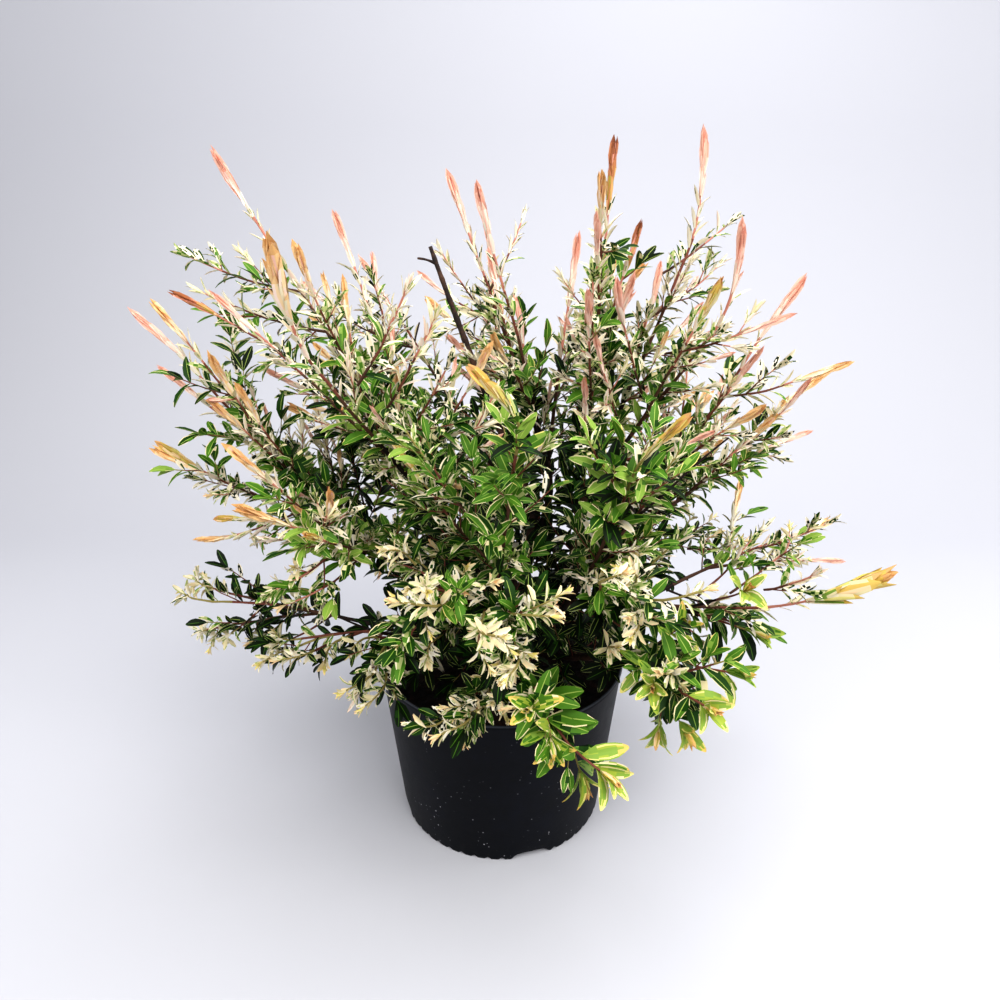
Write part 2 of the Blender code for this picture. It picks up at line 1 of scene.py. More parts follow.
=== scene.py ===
"""The dappled willow shrub in its black nursery pot, dressed for the camera.

All sizes are metres, and angles are degrees where nothing else is said. A direction on the plant is given
by its bearing (round from +X towards +Y) and its rise (above level), and a reach is a distance from the heart,
the point in the stool where the limbs would meet. The limbs, the stems of the foliage and their first side
twigs follow the same tables and seeded rule as the solids, and finer twigs and leaves grow on from them.
"""
import json
import logging
import math
import random
from collections.abc import Iterable
from dataclasses import dataclass, field
from enum import Enum, IntEnum

import bmesh
import bpy
import numpy as np
from mathutils import Matrix, Quaternion, Vector, noise

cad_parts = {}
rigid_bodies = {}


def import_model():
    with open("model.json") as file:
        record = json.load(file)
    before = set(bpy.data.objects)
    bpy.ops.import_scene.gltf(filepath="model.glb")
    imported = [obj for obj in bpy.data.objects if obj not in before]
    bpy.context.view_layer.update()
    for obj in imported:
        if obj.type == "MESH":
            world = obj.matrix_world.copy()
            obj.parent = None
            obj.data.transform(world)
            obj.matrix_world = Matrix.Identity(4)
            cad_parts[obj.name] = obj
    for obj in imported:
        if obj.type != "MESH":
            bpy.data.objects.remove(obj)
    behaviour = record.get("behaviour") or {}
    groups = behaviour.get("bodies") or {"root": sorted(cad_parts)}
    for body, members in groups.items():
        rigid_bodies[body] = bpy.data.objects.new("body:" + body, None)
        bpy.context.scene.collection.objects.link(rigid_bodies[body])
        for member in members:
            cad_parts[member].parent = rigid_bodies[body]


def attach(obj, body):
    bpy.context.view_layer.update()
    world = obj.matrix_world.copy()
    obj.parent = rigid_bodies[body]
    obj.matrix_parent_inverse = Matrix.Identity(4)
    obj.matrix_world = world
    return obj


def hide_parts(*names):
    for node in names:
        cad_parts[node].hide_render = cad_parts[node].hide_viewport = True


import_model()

logging.basicConfig(level=logging.INFO, format="%(message)s")
log = logging.getLogger("willow")

# Without a seed of its own, noise_vector would take one from the clock
NOISE_SEED = 31

UP = Vector((0.0, 0.0, 1.0))
HEART = Vector((0.020, 0.0, 0.220))

# Masses that rise more steeply than this make up the top of the crown
STEEP = 40


def towards(bearing: float, rise: float) -> Vector:
    """The unit vector at a bearing and a rise."""
    across, up = math.radians(bearing), math.radians(rise)
    return Vector((math.cos(up) * math.cos(across), math.cos(up) * math.sin(across), math.sin(up)))


def linear(red: int, green: int, blue: int) -> tuple[float, float, float, float]:
    """A colour as shaders take it, from its 0 to 255 values on a screen.

    Args:
        red: Its red.
        green: Its green.
        blue: Its blue.

    Returns:
        Its parts from 0 to 1, and full opacity.
    """

    def channel(value: int) -> float:
        """One part of the colour."""
        share = value / 255
        return share / 12.92 if share <= 0.04045 else ((share + 0.055) / 1.055) ** 2.4

    return channel(red), channel(green), channel(blue), 1.0


class Socket:
    """A value inside a material, on which Python's operators add Math nodes."""

    def __init__(self, graph: "Graph", socket: bpy.types.NodeSocket) -> None:
        """Wrap an output of one of a graph's nodes."""
        self.graph, self.socket = graph, socket

    def math(self, operation: str, *values: "Socket | float") -> "Socket":
        """Add one Math node.

        Args:
            operation: Blender's name for the operation.
            values: The node's inputs, in order.

        Returns:
            The node's result.
        """
        return self.graph.node("ShaderNodeMath", {"operation": operation}, dict(enumerate(values)))

    def __add__(self, other: "Socket | float") -> "Socket":
        """This value plus another."""
        return self.math("ADD", self, other)

    __radd__ = __add__

    def __sub__(self, other: "Socket | float") -> "Socket":
        """This value less another."""
        return self.math("SUBTRACT", self, other)

    def __rsub__(self, other: float) -> "Socket":
        """A number less this value."""
        return self.math("SUBTRACT", other, self)

    def __mul__(self, other: "Socket | float") -> "Socket":
        """This value times another."""
        return self.math("MULTIPLY", self, other)

    __rmul__ = __mul__

    def under(self, threshold: "Socket | float") -> "Socket":
        """1 where this value is below a threshold, and 0 elsewhere."""
        return self.math("LESS_THAN", self, threshold)

    def between(self, low: float, high: float) -> "Socket":
        """This value brought from the span low to high on to 0 to 1, and held there."""
        settings = {"clamp": True, "interpolation_type": "SMOOTHSTEP"}
        spans = {"From Min": low, "From Max": high, 0: self}
        return self.graph.node("ShaderNodeMapRange", settings, spans)


class Graph:
    """The nodes of one material."""

    def __init__(self, name: str) -> None:
        """Start a material with its shader and its place in space."""
        self.material = bpy.data.materials.new(name)
        self.material.use_nodes = True
        self.tree = self.material.node_tree
        self.shader = self.tree.nodes["Principled BSDF"]
        self.place = self.node("ShaderNodeTexCoord", {}, {}, "Object")

    def node(self, kind: str, settings: dict, inputs: dict, output: int | str = 0) -> Socket:
        """Add a node.

        Args:
            kind: Blender's name for the node's type.
            settings: Values for the node itself, set first.
            inputs: A number, colour or Socket for each input, by name or number.
            output: The output that is wanted.

        Returns:
            That output.
        """
        made = self.tree.nodes.new(kind)
        for name, value in settings.items():
            setattr(made, name, value)
        for name, value in inputs.items():
            self.feed(made.inputs[name], value)
        return Socket(self, made.outputs[output])

    def feed(self, target: bpy.types.NodeSocket, value: "Socket | float | tuple") -> None:
        """Link a Socket to an input, or set the input to a plain value.

        Args:
            target: The input.
            value: The Socket or the plain value.
        """
        if isinstance(value, Socket):
            self.tree.links.new(value.socket, target)
        else:
            target.default_value = value

    def grain(self, scale: float, detail: float = 4.0, roughness: float = 0.55) -> Socket:
        """Noise from 0 to 1 in the piece's own space."""
        inputs = {"Vector": self.place, "Scale": scale, "Detail": detail, "Roughness": roughness}
        return self.node("ShaderNodeTexNoise", {}, inputs)

    def cells(self, scale: float) -> Socket:
        """The distance from the middle of the nearest of many scattered cells."""
        return self.node("ShaderNodeTexVoronoi", {"feature": "F1"}, {"Vector": self.place, "Scale": scale})

    def blend(self, share: Socket, first: "Socket | tuple", second: "Socket | tuple") -> Socket:
        """A colour that goes from the first to the second as share goes from 0 to 1.

        Args:
            share: The share of the second.
            first: The first colour.
            second: The second colour.

        Returns:
            The mixed colour.
        """
        made = self.tree.nodes.new("ShaderNodeMix")
        made.data_type = "RGBA"
        self.feed(made.inputs[0], share)
        self.feed(made.inputs[6], first)
        self.feed(made.inputs[7], second)
        return Socket(self, made.outputs[2])

    def height(self) -> Socket:
        """The height above the ground in metres."""
        return self.node("ShaderNodeSeparateXYZ", {}, {0: self.place}, 2)

    def finish(self, **inputs: "Socket | float | tuple") -> bpy.types.Material:
        """Feed the shader, each input named with underscores for its spaces.

        Returns:
            The material.
        """
        for name, value in inputs.items():
            self.feed(self.shader.inputs[name.replace("_", " ")], value)
        return self.material

    def bump(self, height: Socket, distance: float, strength: float) -> Socket:
        """The normal that a height gives the surface."""
        return self.node("ShaderNodeBump", {}, {"Height": height, "Distance": distance, "Strength": strength})


@dataclass(frozen=True)
class PlasticFinish:
    """Thin black moulded plastic, faintly scuffed, with pale dust on its lower half and a pale band painted
    along the top of the rim as a highlight.

    The dusty span and the span of the painted rim highlight are heights above the ground.
    """

    name: str = "pot_black_plastic"
    black: tuple = linear(2, 4, 10)
    scuffed: tuple = linear(10, 14, 25)
    # A pale grey painted on the rim's top edge as a highlight
    rim_highlight: tuple = linear(74, 77, 84)
    dust: tuple = linear(158, 158, 164)
    cloud_scale: float = 9.0
    scuff_scale: float = 60.0
    patch_scale: float = 34.0
    speck_scale: float = 170.0
    speck_size: float = 0.14
    dusty_span: tuple[float, float] = (0.02, 0.17)
    rim_highlight_span: tuple[float, float] = (0.1935, 0.1952)
    relief: float = 0.0006

    def make(self) -> bpy.types.Material:
        """Make the material.

        Returns:
            The material.
        """
        graph = Graph(self.name)
        cloud = graph.grain(self.cloud_scale, 5.0)
        scuff = graph.grain(self.scuff_scale, 6.0, 0.7)
        low = 1 - graph.height().between(*self.dusty_span)
        patches = graph.grain(self.patch_scale, 2.0).between(0.50, 0.66)
        specks = graph.cells(self.speck_scale).under(self.speck_size)
        dusted = specks * patches * (low * 0.85 + 0.12)
        skin = graph.blend((cloud * 0.6 + scuff * 0.4).between(0.42, 0.75), self.black, self.scuffed)
        # Painted highlight: a pale band at the top of the rim, where light catches its edge
        base = graph.blend(graph.height().between(*self.rim_highlight_span) * 0.8, skin, self.rim_highlight)
        return graph.finish(
            Base_Color=graph.blend(dusted, base, self.dust),
            Roughness=0.40 + scuff * 0.16 + dusted * 0.3,
            Normal=graph.bump(scuff + cloud * 0.5, self.relief, 0.35),
            Specular_IOR_Level=0.13,
        )


@dataclass(frozen=True)
class BarkFinish:
    """Young willow bark: dark brown to near black, in fine streaks, with pale breathing pores."""

    name: str = "bark_dark_brown"
    dark: tuple = linear(30, 21, 19)
    brown: tuple = linear(84, 58, 44)
    pore: tuple = linear(128, 104, 84)
    broad_scale: float = 55.0
    fine_scale: float = 300.0
    pore_scale: float = 240.0
    relief: float = 0.0011

    def make(self) -> bpy.types.Material:
        """Make the material.

        Returns:
            The material.
        """
        graph = Graph(self.name)
        broad = graph.grain(self.broad_scale, 5.0, 0.6)
        fine = graph.grain(self.fine_scale, 6.0, 0.65)
        pores = 1 - graph.cells(self.pore_scale).between(0.10, 0.20)
        skin = graph.blend((broad * 0.65 + fine * 0.35).between(0.40, 0.64), self.dark, self.brown)
        spotted = pores * broad.between(0.48, 0.60) * 0.7
        return graph.finish(
            Base_Color=graph.blend(spotted, skin, self.pore),
            Roughness=0.62 + fine * 0.3,
            Normal=graph.bump(fine * 0.7 + broad + pores * 0.4, self.relief, 0.75),
            Specular_IOR_Level=0.35,
        )


@dataclass(frozen=True)
class SoilFinish:
    """Damp potting soil, with red-brown bark fibre in it."""

    name: str = "soil_damp"
    dark: tuple = linear(12, 9, 8)
    brown: tuple = linear(34, 23, 18)
    red: tuple = linear(60, 32, 22)
    lump_scale: float = 130.0
    patch_scale: float = 48.0
    relief: float = 0.0022

    def make(self) -> bpy.types.Material:
        """Make the material.

        Returns:
            The material.
        """
        graph = Graph(self.name)
        lumps = graph.grain(self.lump_scale, 8.0, 0.7)
        patches = graph.grain(self.patch_scale, 4.0)
        base = graph.blend(lumps.between(0.40, 0.62), self.dark, self.brown)
        return graph.finish(
            Base_Color=graph.blend(patches.between(0.54, 0.68) * 0.6, base, self.red),
            Roughness=0.78 + lumps * 0.2,
            Normal=graph.bump(lumps, self.relief, 0.9),
            Specular_IOR_Level=0.25,
        )


@dataclass(frozen=True)
class StudioFinish:
    """The matt pale paper that the pot stands on."""

    name: str = "studio_paper"
    pale: tuple = linear(194, 195, 202)

    def make(self) -> bpy.types.Material:
        """Make the material.

        Returns:
            The material.
        """
        return Graph(self.name).finish(Base_Color=self.pale, Roughness=0.85, Specular_IOR_Level=0.2)


# How strongly leaves and young twigs mirror light
PLANT_GLOSS = 0.17


class Tint(Enum):
    """The plain colours of leaves and young twigs, each with its roughness."""

    # The two darkest greens are the leaves' own dark green and also painted shade for green leaves deep inside
    # and low in the crown
    GREEN_DEEP = (linear(8, 26, 2), 0.52)
    GREEN_DARK = (linear(26, 62, 7), 0.50)
    GREEN_MID = (linear(72, 115, 30), 0.48)
    GREEN_FRESH = (linear(128, 158, 66), 0.48)
    GREEN_GREY = (linear(164, 174, 112), 0.52)
    VEIN = (linear(156, 178, 88), 0.50)
    LIME = (linear(152, 170, 66), 0.46)
    LEMON = (linear(222, 210, 128), 0.48)
    CREAM = (linear(226, 213, 168), 0.54)
    IVORY = (linear(228, 217, 186), 0.54)
    WHITE = (linear(234, 227, 210), 0.55)
    PEACH = (linear(238, 208, 164), 0.52)
    BLUSH = (linear(240, 216, 200), 0.52)
    ROSE_PALE = (linear(240, 200, 186), 0.50)
    SALMON = (linear(233, 187, 167), 0.48)
    SALMON_DEEP = (linear(221, 160, 140), 0.46)
    TAN = (linear(232, 193, 141), 0.48)
    TAN_DEEP = (linear(217, 169, 112), 0.48)
    COPPER = (linear(184, 122, 84), 0.46)
    COPPER_DARK = (linear(146, 90, 64), 0.46)
    GOLD = (linear(212, 180, 96), 0.46)
    OLIVE = (linear(166, 148, 66), 0.46)
    TWIG_DARK = (linear(40, 30, 27), 0.70)
    TWIG_BROWN = (linear(82, 56, 44), 0.62)
    TWIG_RED = (linear(116, 68, 56), 0.55)
    TWIG_ROSE = (linear(186, 124, 108), 0.52)
    TWIG_GREEN = (linear(138, 126, 74), 0.55)

    def make(self) -> bpy.types.Material:
        """The plain material of this tint, made once.

        Returns:
            The material.
        """
        name = "tint_" + self.name.lower()
        if name in bpy.data.materials:
            return bpy.data.materials[name]
        colour, roughness = self.value
        return Graph(name).finish(Base_Color=colour, Roughness=roughness, Specular_IOR_Level=PLANT_GLOSS)


class Zone(IntEnum):
    """The parts of a leaf that can have colours of their own."""

    BODY = 0
    EDGE = 1
    RIB = 2
    FLECK = 3
    TIP = 4


@dataclass
class Template:
    """One leaf as arrays: its corners, its four-sided faces, and each face's zone."""

    corners: np.ndarray
    faces: np.ndarray
    zones: np.ndarray


# Where the rib ends and the edge begins, as shares of a leaf's half width
RIB_TO = 0.12
EDGE_FROM = 0.55


@dataclass(frozen=True)
class Marks:
    """How a leaf is marked.

    The edge and the fleck are the shares of it with a pale edge and with flecks, and the root and the tip the
    shares of its length where its foot's colour ends and its tip's begins. A streaked leaf has two stripes
    instead of flecks. More grain and across make finer flecks, and the jitter makes their outline ragged.
    """

    edge: float
    fleck: float
    root: float = 0.0
    tip: float = 1.2
    streaked: bool = False
    grain: float = 1.0
    across: float = 1.7
    jitter: float = 0.25

    def zone(self, share: float, across: float, patch: float, chance: random.Random) -> Zone:
        """The zone of a face.

        Args:
            share: How far along the leaf its middle is.
            across: How far to the left of the rib its middle is, as a share of the half width.
            patch: A number of the leaf's own, which places its patches.
            chance: Where the draws come from.

        Returns:
            The zone.
        """
        if share < self.root * chance.uniform(0.6, 1.4):
            return Zone.EDGE
        if share > self.tip * chance.uniform(0.9, 1.1):
            return Zone.TIP
        aside = abs(across)
        if self.streaked and aside < EDGE_FROM:
            return Zone.FLECK if across > 0 else Zone.RIB
        along = 5.0 * self.grain * (share - 0.12 * aside)
        cloud = 0.5 + 0.9 * noise.noise(Vector((along, self.across * across, patch)))
        if cloud + self.jitter * (chance.random() - 0.5) < self.fleck * (1.0 if aside < 0.5 else 0.85):
            return Zone.FLECK
        if aside > EDGE_FROM:
            return Zone.EDGE if chance.random() < self.edge else Zone.BODY
        return Zone.RIB if aside < RIB_TO else Zone.BODY


# Where the columns of faces end across a leaf, as shares of its half width
RIBBED = (-1.0, -0.80, -0.07, 0.07, 0.80, 1.0)
PLAIN = (-1.0, -0.5, 0.0, 0.5, 1.0)
STREAKS = (-1.0, -0.82, -0.60, -0.36, -0.07, 0.07, 0.36, 0.60, 0.82, 1.0)

# Where the rows of faces end along a leaf, as shares of its length
FOUR_ROWS = (0.0, 0.20, 0.52, 0.82, 1.0)
FIVE_ROWS = (0.0, 0.14, 0.36, 0.62, 0.86, 1.0)
BLUNT_ROWS = (0.0, 0.13, 0.38, 0.68, 0.91, 1.0)
SIX_ROWS = (0.0, 0.13, 0.30, 0.50, 0.70, 0.88, 1.0)
LONG_ROWS = (0.0, 0.16, 0.36, 0.56, 0.76, 0.90, 1.0)


@dataclass(frozen=True)
class LeafForm:
    """The outline, bend and marks of one kind of leaf, for a leaf 1 long that lies along +X, face up.

    The width is a share of the length, and tip_width says how blunt the tip is. The fold at the rib and the
    curl along the leaf are in degrees. The stalk ends and the blade is widest at those shares of the length, and
    a lower fullness makes a squarer outline. The sway, twist, ripple and bulge are how far the leaf sweeps
    aside, turns, waves at its edges and draws its rows towards the tip.
    """

    width: float
    tip_width: float
    fold: float
    curl: float
    marks: Marks
    columns: tuple[float, ...] = PLAIN
    rows: tuple[float, ...] = FIVE_ROWS
    widest: float = 0.52
    stalk: float = 0.05
    stalk_width: float = 0.09
    fullness: float = 0.56
    sway: float = 0.09
    twist: float = 0.35
    ripple: float = 0.06
    bulge: float = 0.03

    def half_width(self, share: float) -> float:
        """Half the blade's width at a share of the way along.

        Args:
            share: How far along the leaf.

        Returns:
            Half the width, for a leaf 1 long.
        """
        along = max(0.0, (share - self.stalk) / (1 - self.stalk))
        power = math.log(0.5) / math.log(self.widest)
        swell = math.sin(math.pi * min(1.0, along**power)) ** self.fullness if 0 < along < 1 else 0.0
        return self.width / 2 * max(swell, self.stalk_width if share < 0.5 else self.tip_width)

    def template(self, chance: random.Random) -> Template:
        """Make one leaf of this form.

        Args:
            chance: Where the bend's and the marks' draws come from.

        Returns:
            The leaf as arrays.
        """
        rows, columns = len(self.rows) - 1, len(self.columns) - 1
        shape = bmesh.new()
        bmesh.ops.create_grid(shape, x_segments=rows, y_segments=columns, size=0.5)
        zones, patch = [], chance.uniform(0, 99)
        for face in shape.faces:
            middle = face.calc_center_median()
            row, column = int((middle.x + 0.5) * rows), int((middle.y + 0.5) * columns)
            share = (self.rows[row] + self.rows[row + 1]) / 2
            across = (self.columns[column] + self.columns[column + 1]) / 2
            zones.append(self.marks.zone(share, across, patch, chance))
        self.bend(shape, chance)
        corners = np.array([corner.co for corner in shape.verts], np.float32)
        faces = np.array([[corner.index for corner in face.verts] for face in shape.faces], np.int32)
        shape.free()
        return Template(corners, faces, np.array(zones, np.int32))

    def bend(self, shape: bmesh.types.BMesh, chance: random.Random) -> None:
        """Give the flat grid the leaf's outline, fold, curl, twist and sweep.

        Args:
            shape: The grid, 1 long and 1 wide round the origin.
            chance: Where the draws come from.
        """
        rows, columns = len(self.rows) - 1, len(self.columns) - 1
        curl = math.radians(self.curl * chance.uniform(0.4, 1.6))
        fold = math.radians(self.fold * chance.uniform(0.7, 1.3))
        sweep = chance.uniform(-self.sway, self.sway)
        twist = chance.uniform(-self.twist, self.twist)
        for corner in shape.verts:
            share = self.rows[round((corner.co.x + 0.5) * rows)]
            across = self.columns[round((corner.co.y + 0.5) * columns)]
            half = self.half_width(share) * (1 + self.ripple * math.sin(9 * share + 5 * across))
            share += (1 - across * across) * self.bulge * share
            turn = curl * share
            along = math.sin(turn) / curl if abs(curl) > 0.01 else share
            drop = (1 - math.cos(turn)) / curl if abs(curl) > 0.01 else 0.0
            lean = fold + twist * share * (1 if across > 0 else -1)
            out, lift = across * half * math.cos(lean), abs(across) * half * math.sin(lean)
            out += sweep * share * share
            corner.co = (along + lift * math.sin(turn), out, lift * math.cos(turn) - drop)


# A short name for the tables, and the order of the tints in lists of slots
T = Tint
ORDER = {tint: place for place, tint in enumerate(Tint)}


MARBLED = Marks(0.70, 0.48, 0.0, 0.86, grain=0.8, across=3.2, jitter=0.08)


class Leaf(Enum):
    """All kinds of leaf on the shrub: the form, and the sets of tints that sprays of the kind take.

    A set has the tints of body, edge, rib, fleck and tip. Those of GREEN go from the darkest to the lightest.
    """

    def __init__(self, form: LeafForm, *tints: tuple[Tint, Tint, Tint, Tint, Tint]) -> None:
        """Name the parts of a kind."""
        self.form, self.tints = form, tints

    GREEN = (
        LeafForm(0.37, 0.26, 14, 30, Marks(0.60, 0.13), RIBBED),
        (T.GREEN_DEEP, T.GREEN_DEEP, T.GREEN_MID, T.GREEN_DARK, T.GREEN_DARK),
        (T.GREEN_DEEP, T.GREEN_GREY, T.VEIN, T.GREEN_DARK, T.GREEN_DARK),
        (T.GREEN_DARK, T.GREEN_DARK, T.VEIN, T.GREEN_DEEP, T.GREEN_DARK),
        (T.GREEN_DARK, T.CREAM, T.VEIN, T.GREEN_MID, T.GREEN_DARK),
        (T.GREEN_DARK, T.GREEN_GREY, T.GREEN_FRESH, T.CREAM, T.GREEN_DARK),
        (T.GREEN_MID, T.CREAM, T.VEIN, T.GREEN_DARK, T.GREEN_MID),
        (T.GREEN_MID, T.GREEN_FRESH, T.VEIN, T.GREEN_DARK, T.GREEN_MID),
        (T.GREEN_MID, T.LEMON, T.GREEN_FRESH, T.GREEN_FRESH, T.GREEN_MID),
        (T.GREEN_FRESH, T.CREAM, T.VEIN, T.GREEN_MID, T.GREEN_FRESH),
    )
    DAPPLED = (
        LeafForm(0.31, 0.24, 20, 30, Marks(0.62, 0.42), PLAIN, SIX_ROWS),
        (T.IVORY, T.WHITE, T.CREAM, T.GREEN_DARK, T.WHITE),
        (T.GREEN_GREY, T.IVORY, T.VEIN, T.GREEN_MID, T.IVORY),
        (T.GREEN_DARK, T.IVORY, T.VEIN, T.GREEN_GREY, T.CREAM),
        (T.WHITE, T.IVORY, T.GREEN_GREY, T.GREEN_DEEP, T.BLUSH),
        (T.GREEN_MID, T.IVORY, T.VEIN, T.GREEN_GREY, T.CREAM),
    )
    PALE = (
        LeafForm(0.24, 0.18, 28, 18, Marks(0.75, 0.24)),
        (T.WHITE, T.IVORY, T.BLUSH, T.GREEN_GREY, T.BLUSH),
        (T.IVORY, T.WHITE, T.CREAM, T.GREEN_DARK, T.WHITE),
        (T.BLUSH, T.WHITE, T.ROSE_PALE, T.GREEN_GREY, T.ROSE_PALE),
        (T.IVORY, T.CREAM, T.PEACH, T.GREEN_GREY, T.PEACH),
    )
    SPEAR_PINK = (
        LeafForm(0.27, 0.13, 40, -12, Marks(0.25, 0.10, 0.22, 0.84, True), PLAIN, FOUR_ROWS, sway=0.03),
        (T.SALMON, T.ROSE_PALE, T.SALMON_DEEP, T.SALMON, T.SALMON_DEEP),
        (T.SALMON, T.BLUSH, T.SALMON_DEEP, T.ROSE_PALE, T.SALMON_DEEP),
        (T.ROSE_PALE, T.BLUSH, T.SALMON, T.ROSE_PALE, T.SALMON),
        (T.BLUSH, T.WHITE, T.ROSE_PALE, T.BLUSH, T.SALMON),
    )
    SPEAR_TAN = (
        LeafForm(0.30, 0.15, 38, -12, Marks(0.30, 0.12, 0.24, 0.82, True), PLAIN, FOUR_ROWS, sway=0.03),
        (T.TAN, T.PEACH, T.TAN_DEEP, T.TAN, T.TAN_DEEP),
        (T.TAN, T.PEACH, T.SALMON, T.TAN, T.TAN_DEEP),
        (T.PEACH, T.IVORY, T.TAN, T.BLUSH, T.TAN),
        (T.BLUSH, T.IVORY, T.PEACH, T.IVORY, T.TAN),
    )
    SPEAR_COPPER = (
        LeafForm(0.29, 0.14, 38, -12, Marks(0.30, 0.16, 0.16, 0.74, True), PLAIN, FOUR_ROWS, sway=0.04),
        (T.COPPER, T.SALMON_DEEP, T.COPPER_DARK, T.COPPER, T.COPPER_DARK),
        (T.COPPER, T.TAN_DEEP, T.COPPER_DARK, T.SALMON_DEEP, T.COPPER_DARK),
        (T.SALMON_DEEP, T.TAN, T.COPPER, T.TAN_DEEP, T.COPPER),
        (T.TAN_DEEP, T.PEACH, T.COPPER, T.OLIVE, T.COPPER),
    )
    SPEAR_GOLD = (
        LeafForm(0.32, 0.16, 34, -10, Marks(0.35, 0.18, 0.22, 0.84, True), PLAIN, FOUR_ROWS, sway=0.04),
        (T.GOLD, T.LEMON, T.TAN_DEEP, T.GOLD, T.TAN_DEEP),
        (T.GOLD, T.PEACH, T.OLIVE, T.TAN, T.TAN_DEEP),
        (T.LEMON, T.CREAM, T.GOLD, T.PEACH, T.GOLD),
        (T.CREAM, T.IVORY, T.LEMON, T.GREEN_FRESH, T.GOLD),
    )
    ROSETTE = (
        LeafForm(0.32, 0.42, 20, 56, Marks(0.70, 0.30, 0.24), PLAIN, BLUNT_ROWS, 0.58),
        (T.IVORY, T.WHITE, T.CREAM, T.GREEN_GREY, T.WHITE),
        (T.CREAM, T.IVORY, T.PEACH, T.PEACH, T.IVORY),
        (T.IVORY, T.GREEN_GREY, T.LEMON, T.CREAM, T.WHITE),
        (T.WHITE, T.IVORY, T.PEACH, T.GREEN_GREY, T.WHITE),
        (T.CREAM, T.IVORY, T.CREAM, T.GREEN_GREY, T.BLUSH),
    )
    HEART_LEAF = (
        LeafForm(0.30, 0.22, 34, 16, Marks(0.30, 0.15, 0.0, 0.80)),
        (T.LEMON, T.CREAM, T.PEACH, T.CREAM, T.PEACH),
        (T.PEACH, T.CREAM, T.TAN, T.LEMON, T.TAN),
        (T.CREAM, T.LEMON, T.PEACH, T.PEACH, T.PEACH),
    )
    LIME = (
        LeafForm(0.37, 0.24, 16, 34, MARBLED, STREAKS, LONG_ROWS),
        (T.LIME, T.LEMON, T.LIME, T.GREEN_FRESH, T.GOLD),
        (T.GREEN_FRESH, T.CREAM, T.LIME, T.LIME, T.LEMON),
        (T.GREEN_MID, T.LIME, T.GREEN_FRESH, T.GREEN_FRESH, T.LIME),
        (T.LIME, T.CREAM, T.LEMON, T.GREEN_MID, T.GOLD),
    )


class Pile:
    """Many leaves of all kinds that end up joined in one mesh."""

    VARIANTS = 6
    library: dict[Leaf, list[Template]] = {}

    def __init__(self) -> None:
        """Start an empty pile."""
        self.placed: dict[tuple[Leaf, int], list[tuple[Matrix, int]]] = {}
        self.count = 0

    @classmethod
    def stock(cls, seed: int) -> None:
        """Make the variants of every kind of leaf.

        Args:
            seed: Where their draws start.
        """
        chance = random.Random(seed)
        for leaf in Leaf:
            cls.library[leaf] = [leaf.form.template(chance) for _ in range(cls.VARIANTS)]

    def add(self, leaf: Leaf, variant: int, place: Matrix, tints: int) -> None:
        """Put down one leaf.

        Args:
            leaf: Its kind.
            variant: Which variant of the kind.
            place: The matrix that brings the variant to its place and size.
            tints: Which of the kind's sets of tints it takes.
        """
        self.placed.setdefault((leaf, variant % self.VARIANTS), []).append((place, tints))
        self.count += 1

    def join(self, name: str) -> bpy.types.Object:
        """Join all leaves in one mesh object.

        Args:
            name: The object's name.

        Returns:
            The object, with one slot for each tint that its faces use.
        """
        sets = [row for leaf, _ in self.placed for row in leaf.tints]
        used = sorted({tint for row in sets for tint in row}, key=ORDER.get)
        corners, faces, slots, offset = [], [], [], 0
        for (leaf, variant), entries in self.placed.items():
            template = self.library[leaf][variant]
            places = np.array([entry[0] for entry in entries], np.float32)
            moved = template.corners @ places[:, :3, :3].transpose(0, 2, 1) + places[:, None, :3, 3]
            rows = np.array([[used.index(tint) for tint in row] for row in leaf.tints], np.int32)
            chosen = rows[[entry[1] % len(rows) for entry in entries]]
            steps = offset + len(template.corners) * np.arange(len(entries))
            corners.append(moved.reshape(-1, 3))
            faces.append((template.faces[None] + steps[:, None, None]).reshape(-1, 4))
            slots.append(chosen[:, template.zones].reshape(-1))
            offset += len(template.corners) * len(entries)
        return mesh_object(name, np.concatenate(corners), np.concatenate(faces), np.concatenate(slots), used)


def mesh_object(
    name: str, corners: np.ndarray, faces: np.ndarray, slots: np.ndarray, tints: list[Tint]
) -> bpy.types.Object:
    """Make a smooth mesh object from arrays of joined shapes.

    Args:
        name: The object's name.
        corners: A row of three coordinates for each corner.
        faces: A row of four corner numbers for each face; a face whose last two are the same is a triangle.
        slots: Each face's place in the list of tints.
        tints: The tints that become the object's material slots.

    Returns:
        The object.
    """
    mesh = bpy.data.meshes.new(name)
    three = faces[:, 2] == faces[:, 3]
    sizes = np.where(three, 3, 4).astype(np.int32)
    keep = np.ones(faces.shape, bool)
    keep[three, 3] = False
    mesh.vertices.add(len(corners))
    mesh.vertices.foreach_set("co", corners.astype(np.float32).ravel())
    mesh.loops.add(int(sizes.sum()))
    mesh.loops.foreach_set("vertex_index", faces[keep].astype(np.int32))
    mesh.polygons.add(len(faces))
    mesh.polygons.foreach_set("loop_start", np.concatenate(([0], np.cumsum(sizes)[:-1])).astype(np.int32))
    mesh.polygons.foreach_set("material_index", slots.astype(np.int32))
    for tint in tints:
        mesh.materials.append(tint.make())
    mesh.update(calc_edges=True)
    mesh.validate()
    mesh.shade_smooth()
    made = bpy.data.objects.new(name, mesh)
    bpy.context.scene.collection.objects.link(made)
    return made


def curve_points(start: Vector, pull: Vector, end: Vector, steps: int) -> list[Vector]:
    """Points on the curve from start to end that is drawn towards pull."""
    shares = [step / steps for step in range(steps + 1)]
    return [(1 - t) ** 2 * start + 2 * t * (1 - t) * pull + t * t * end for t in shares]


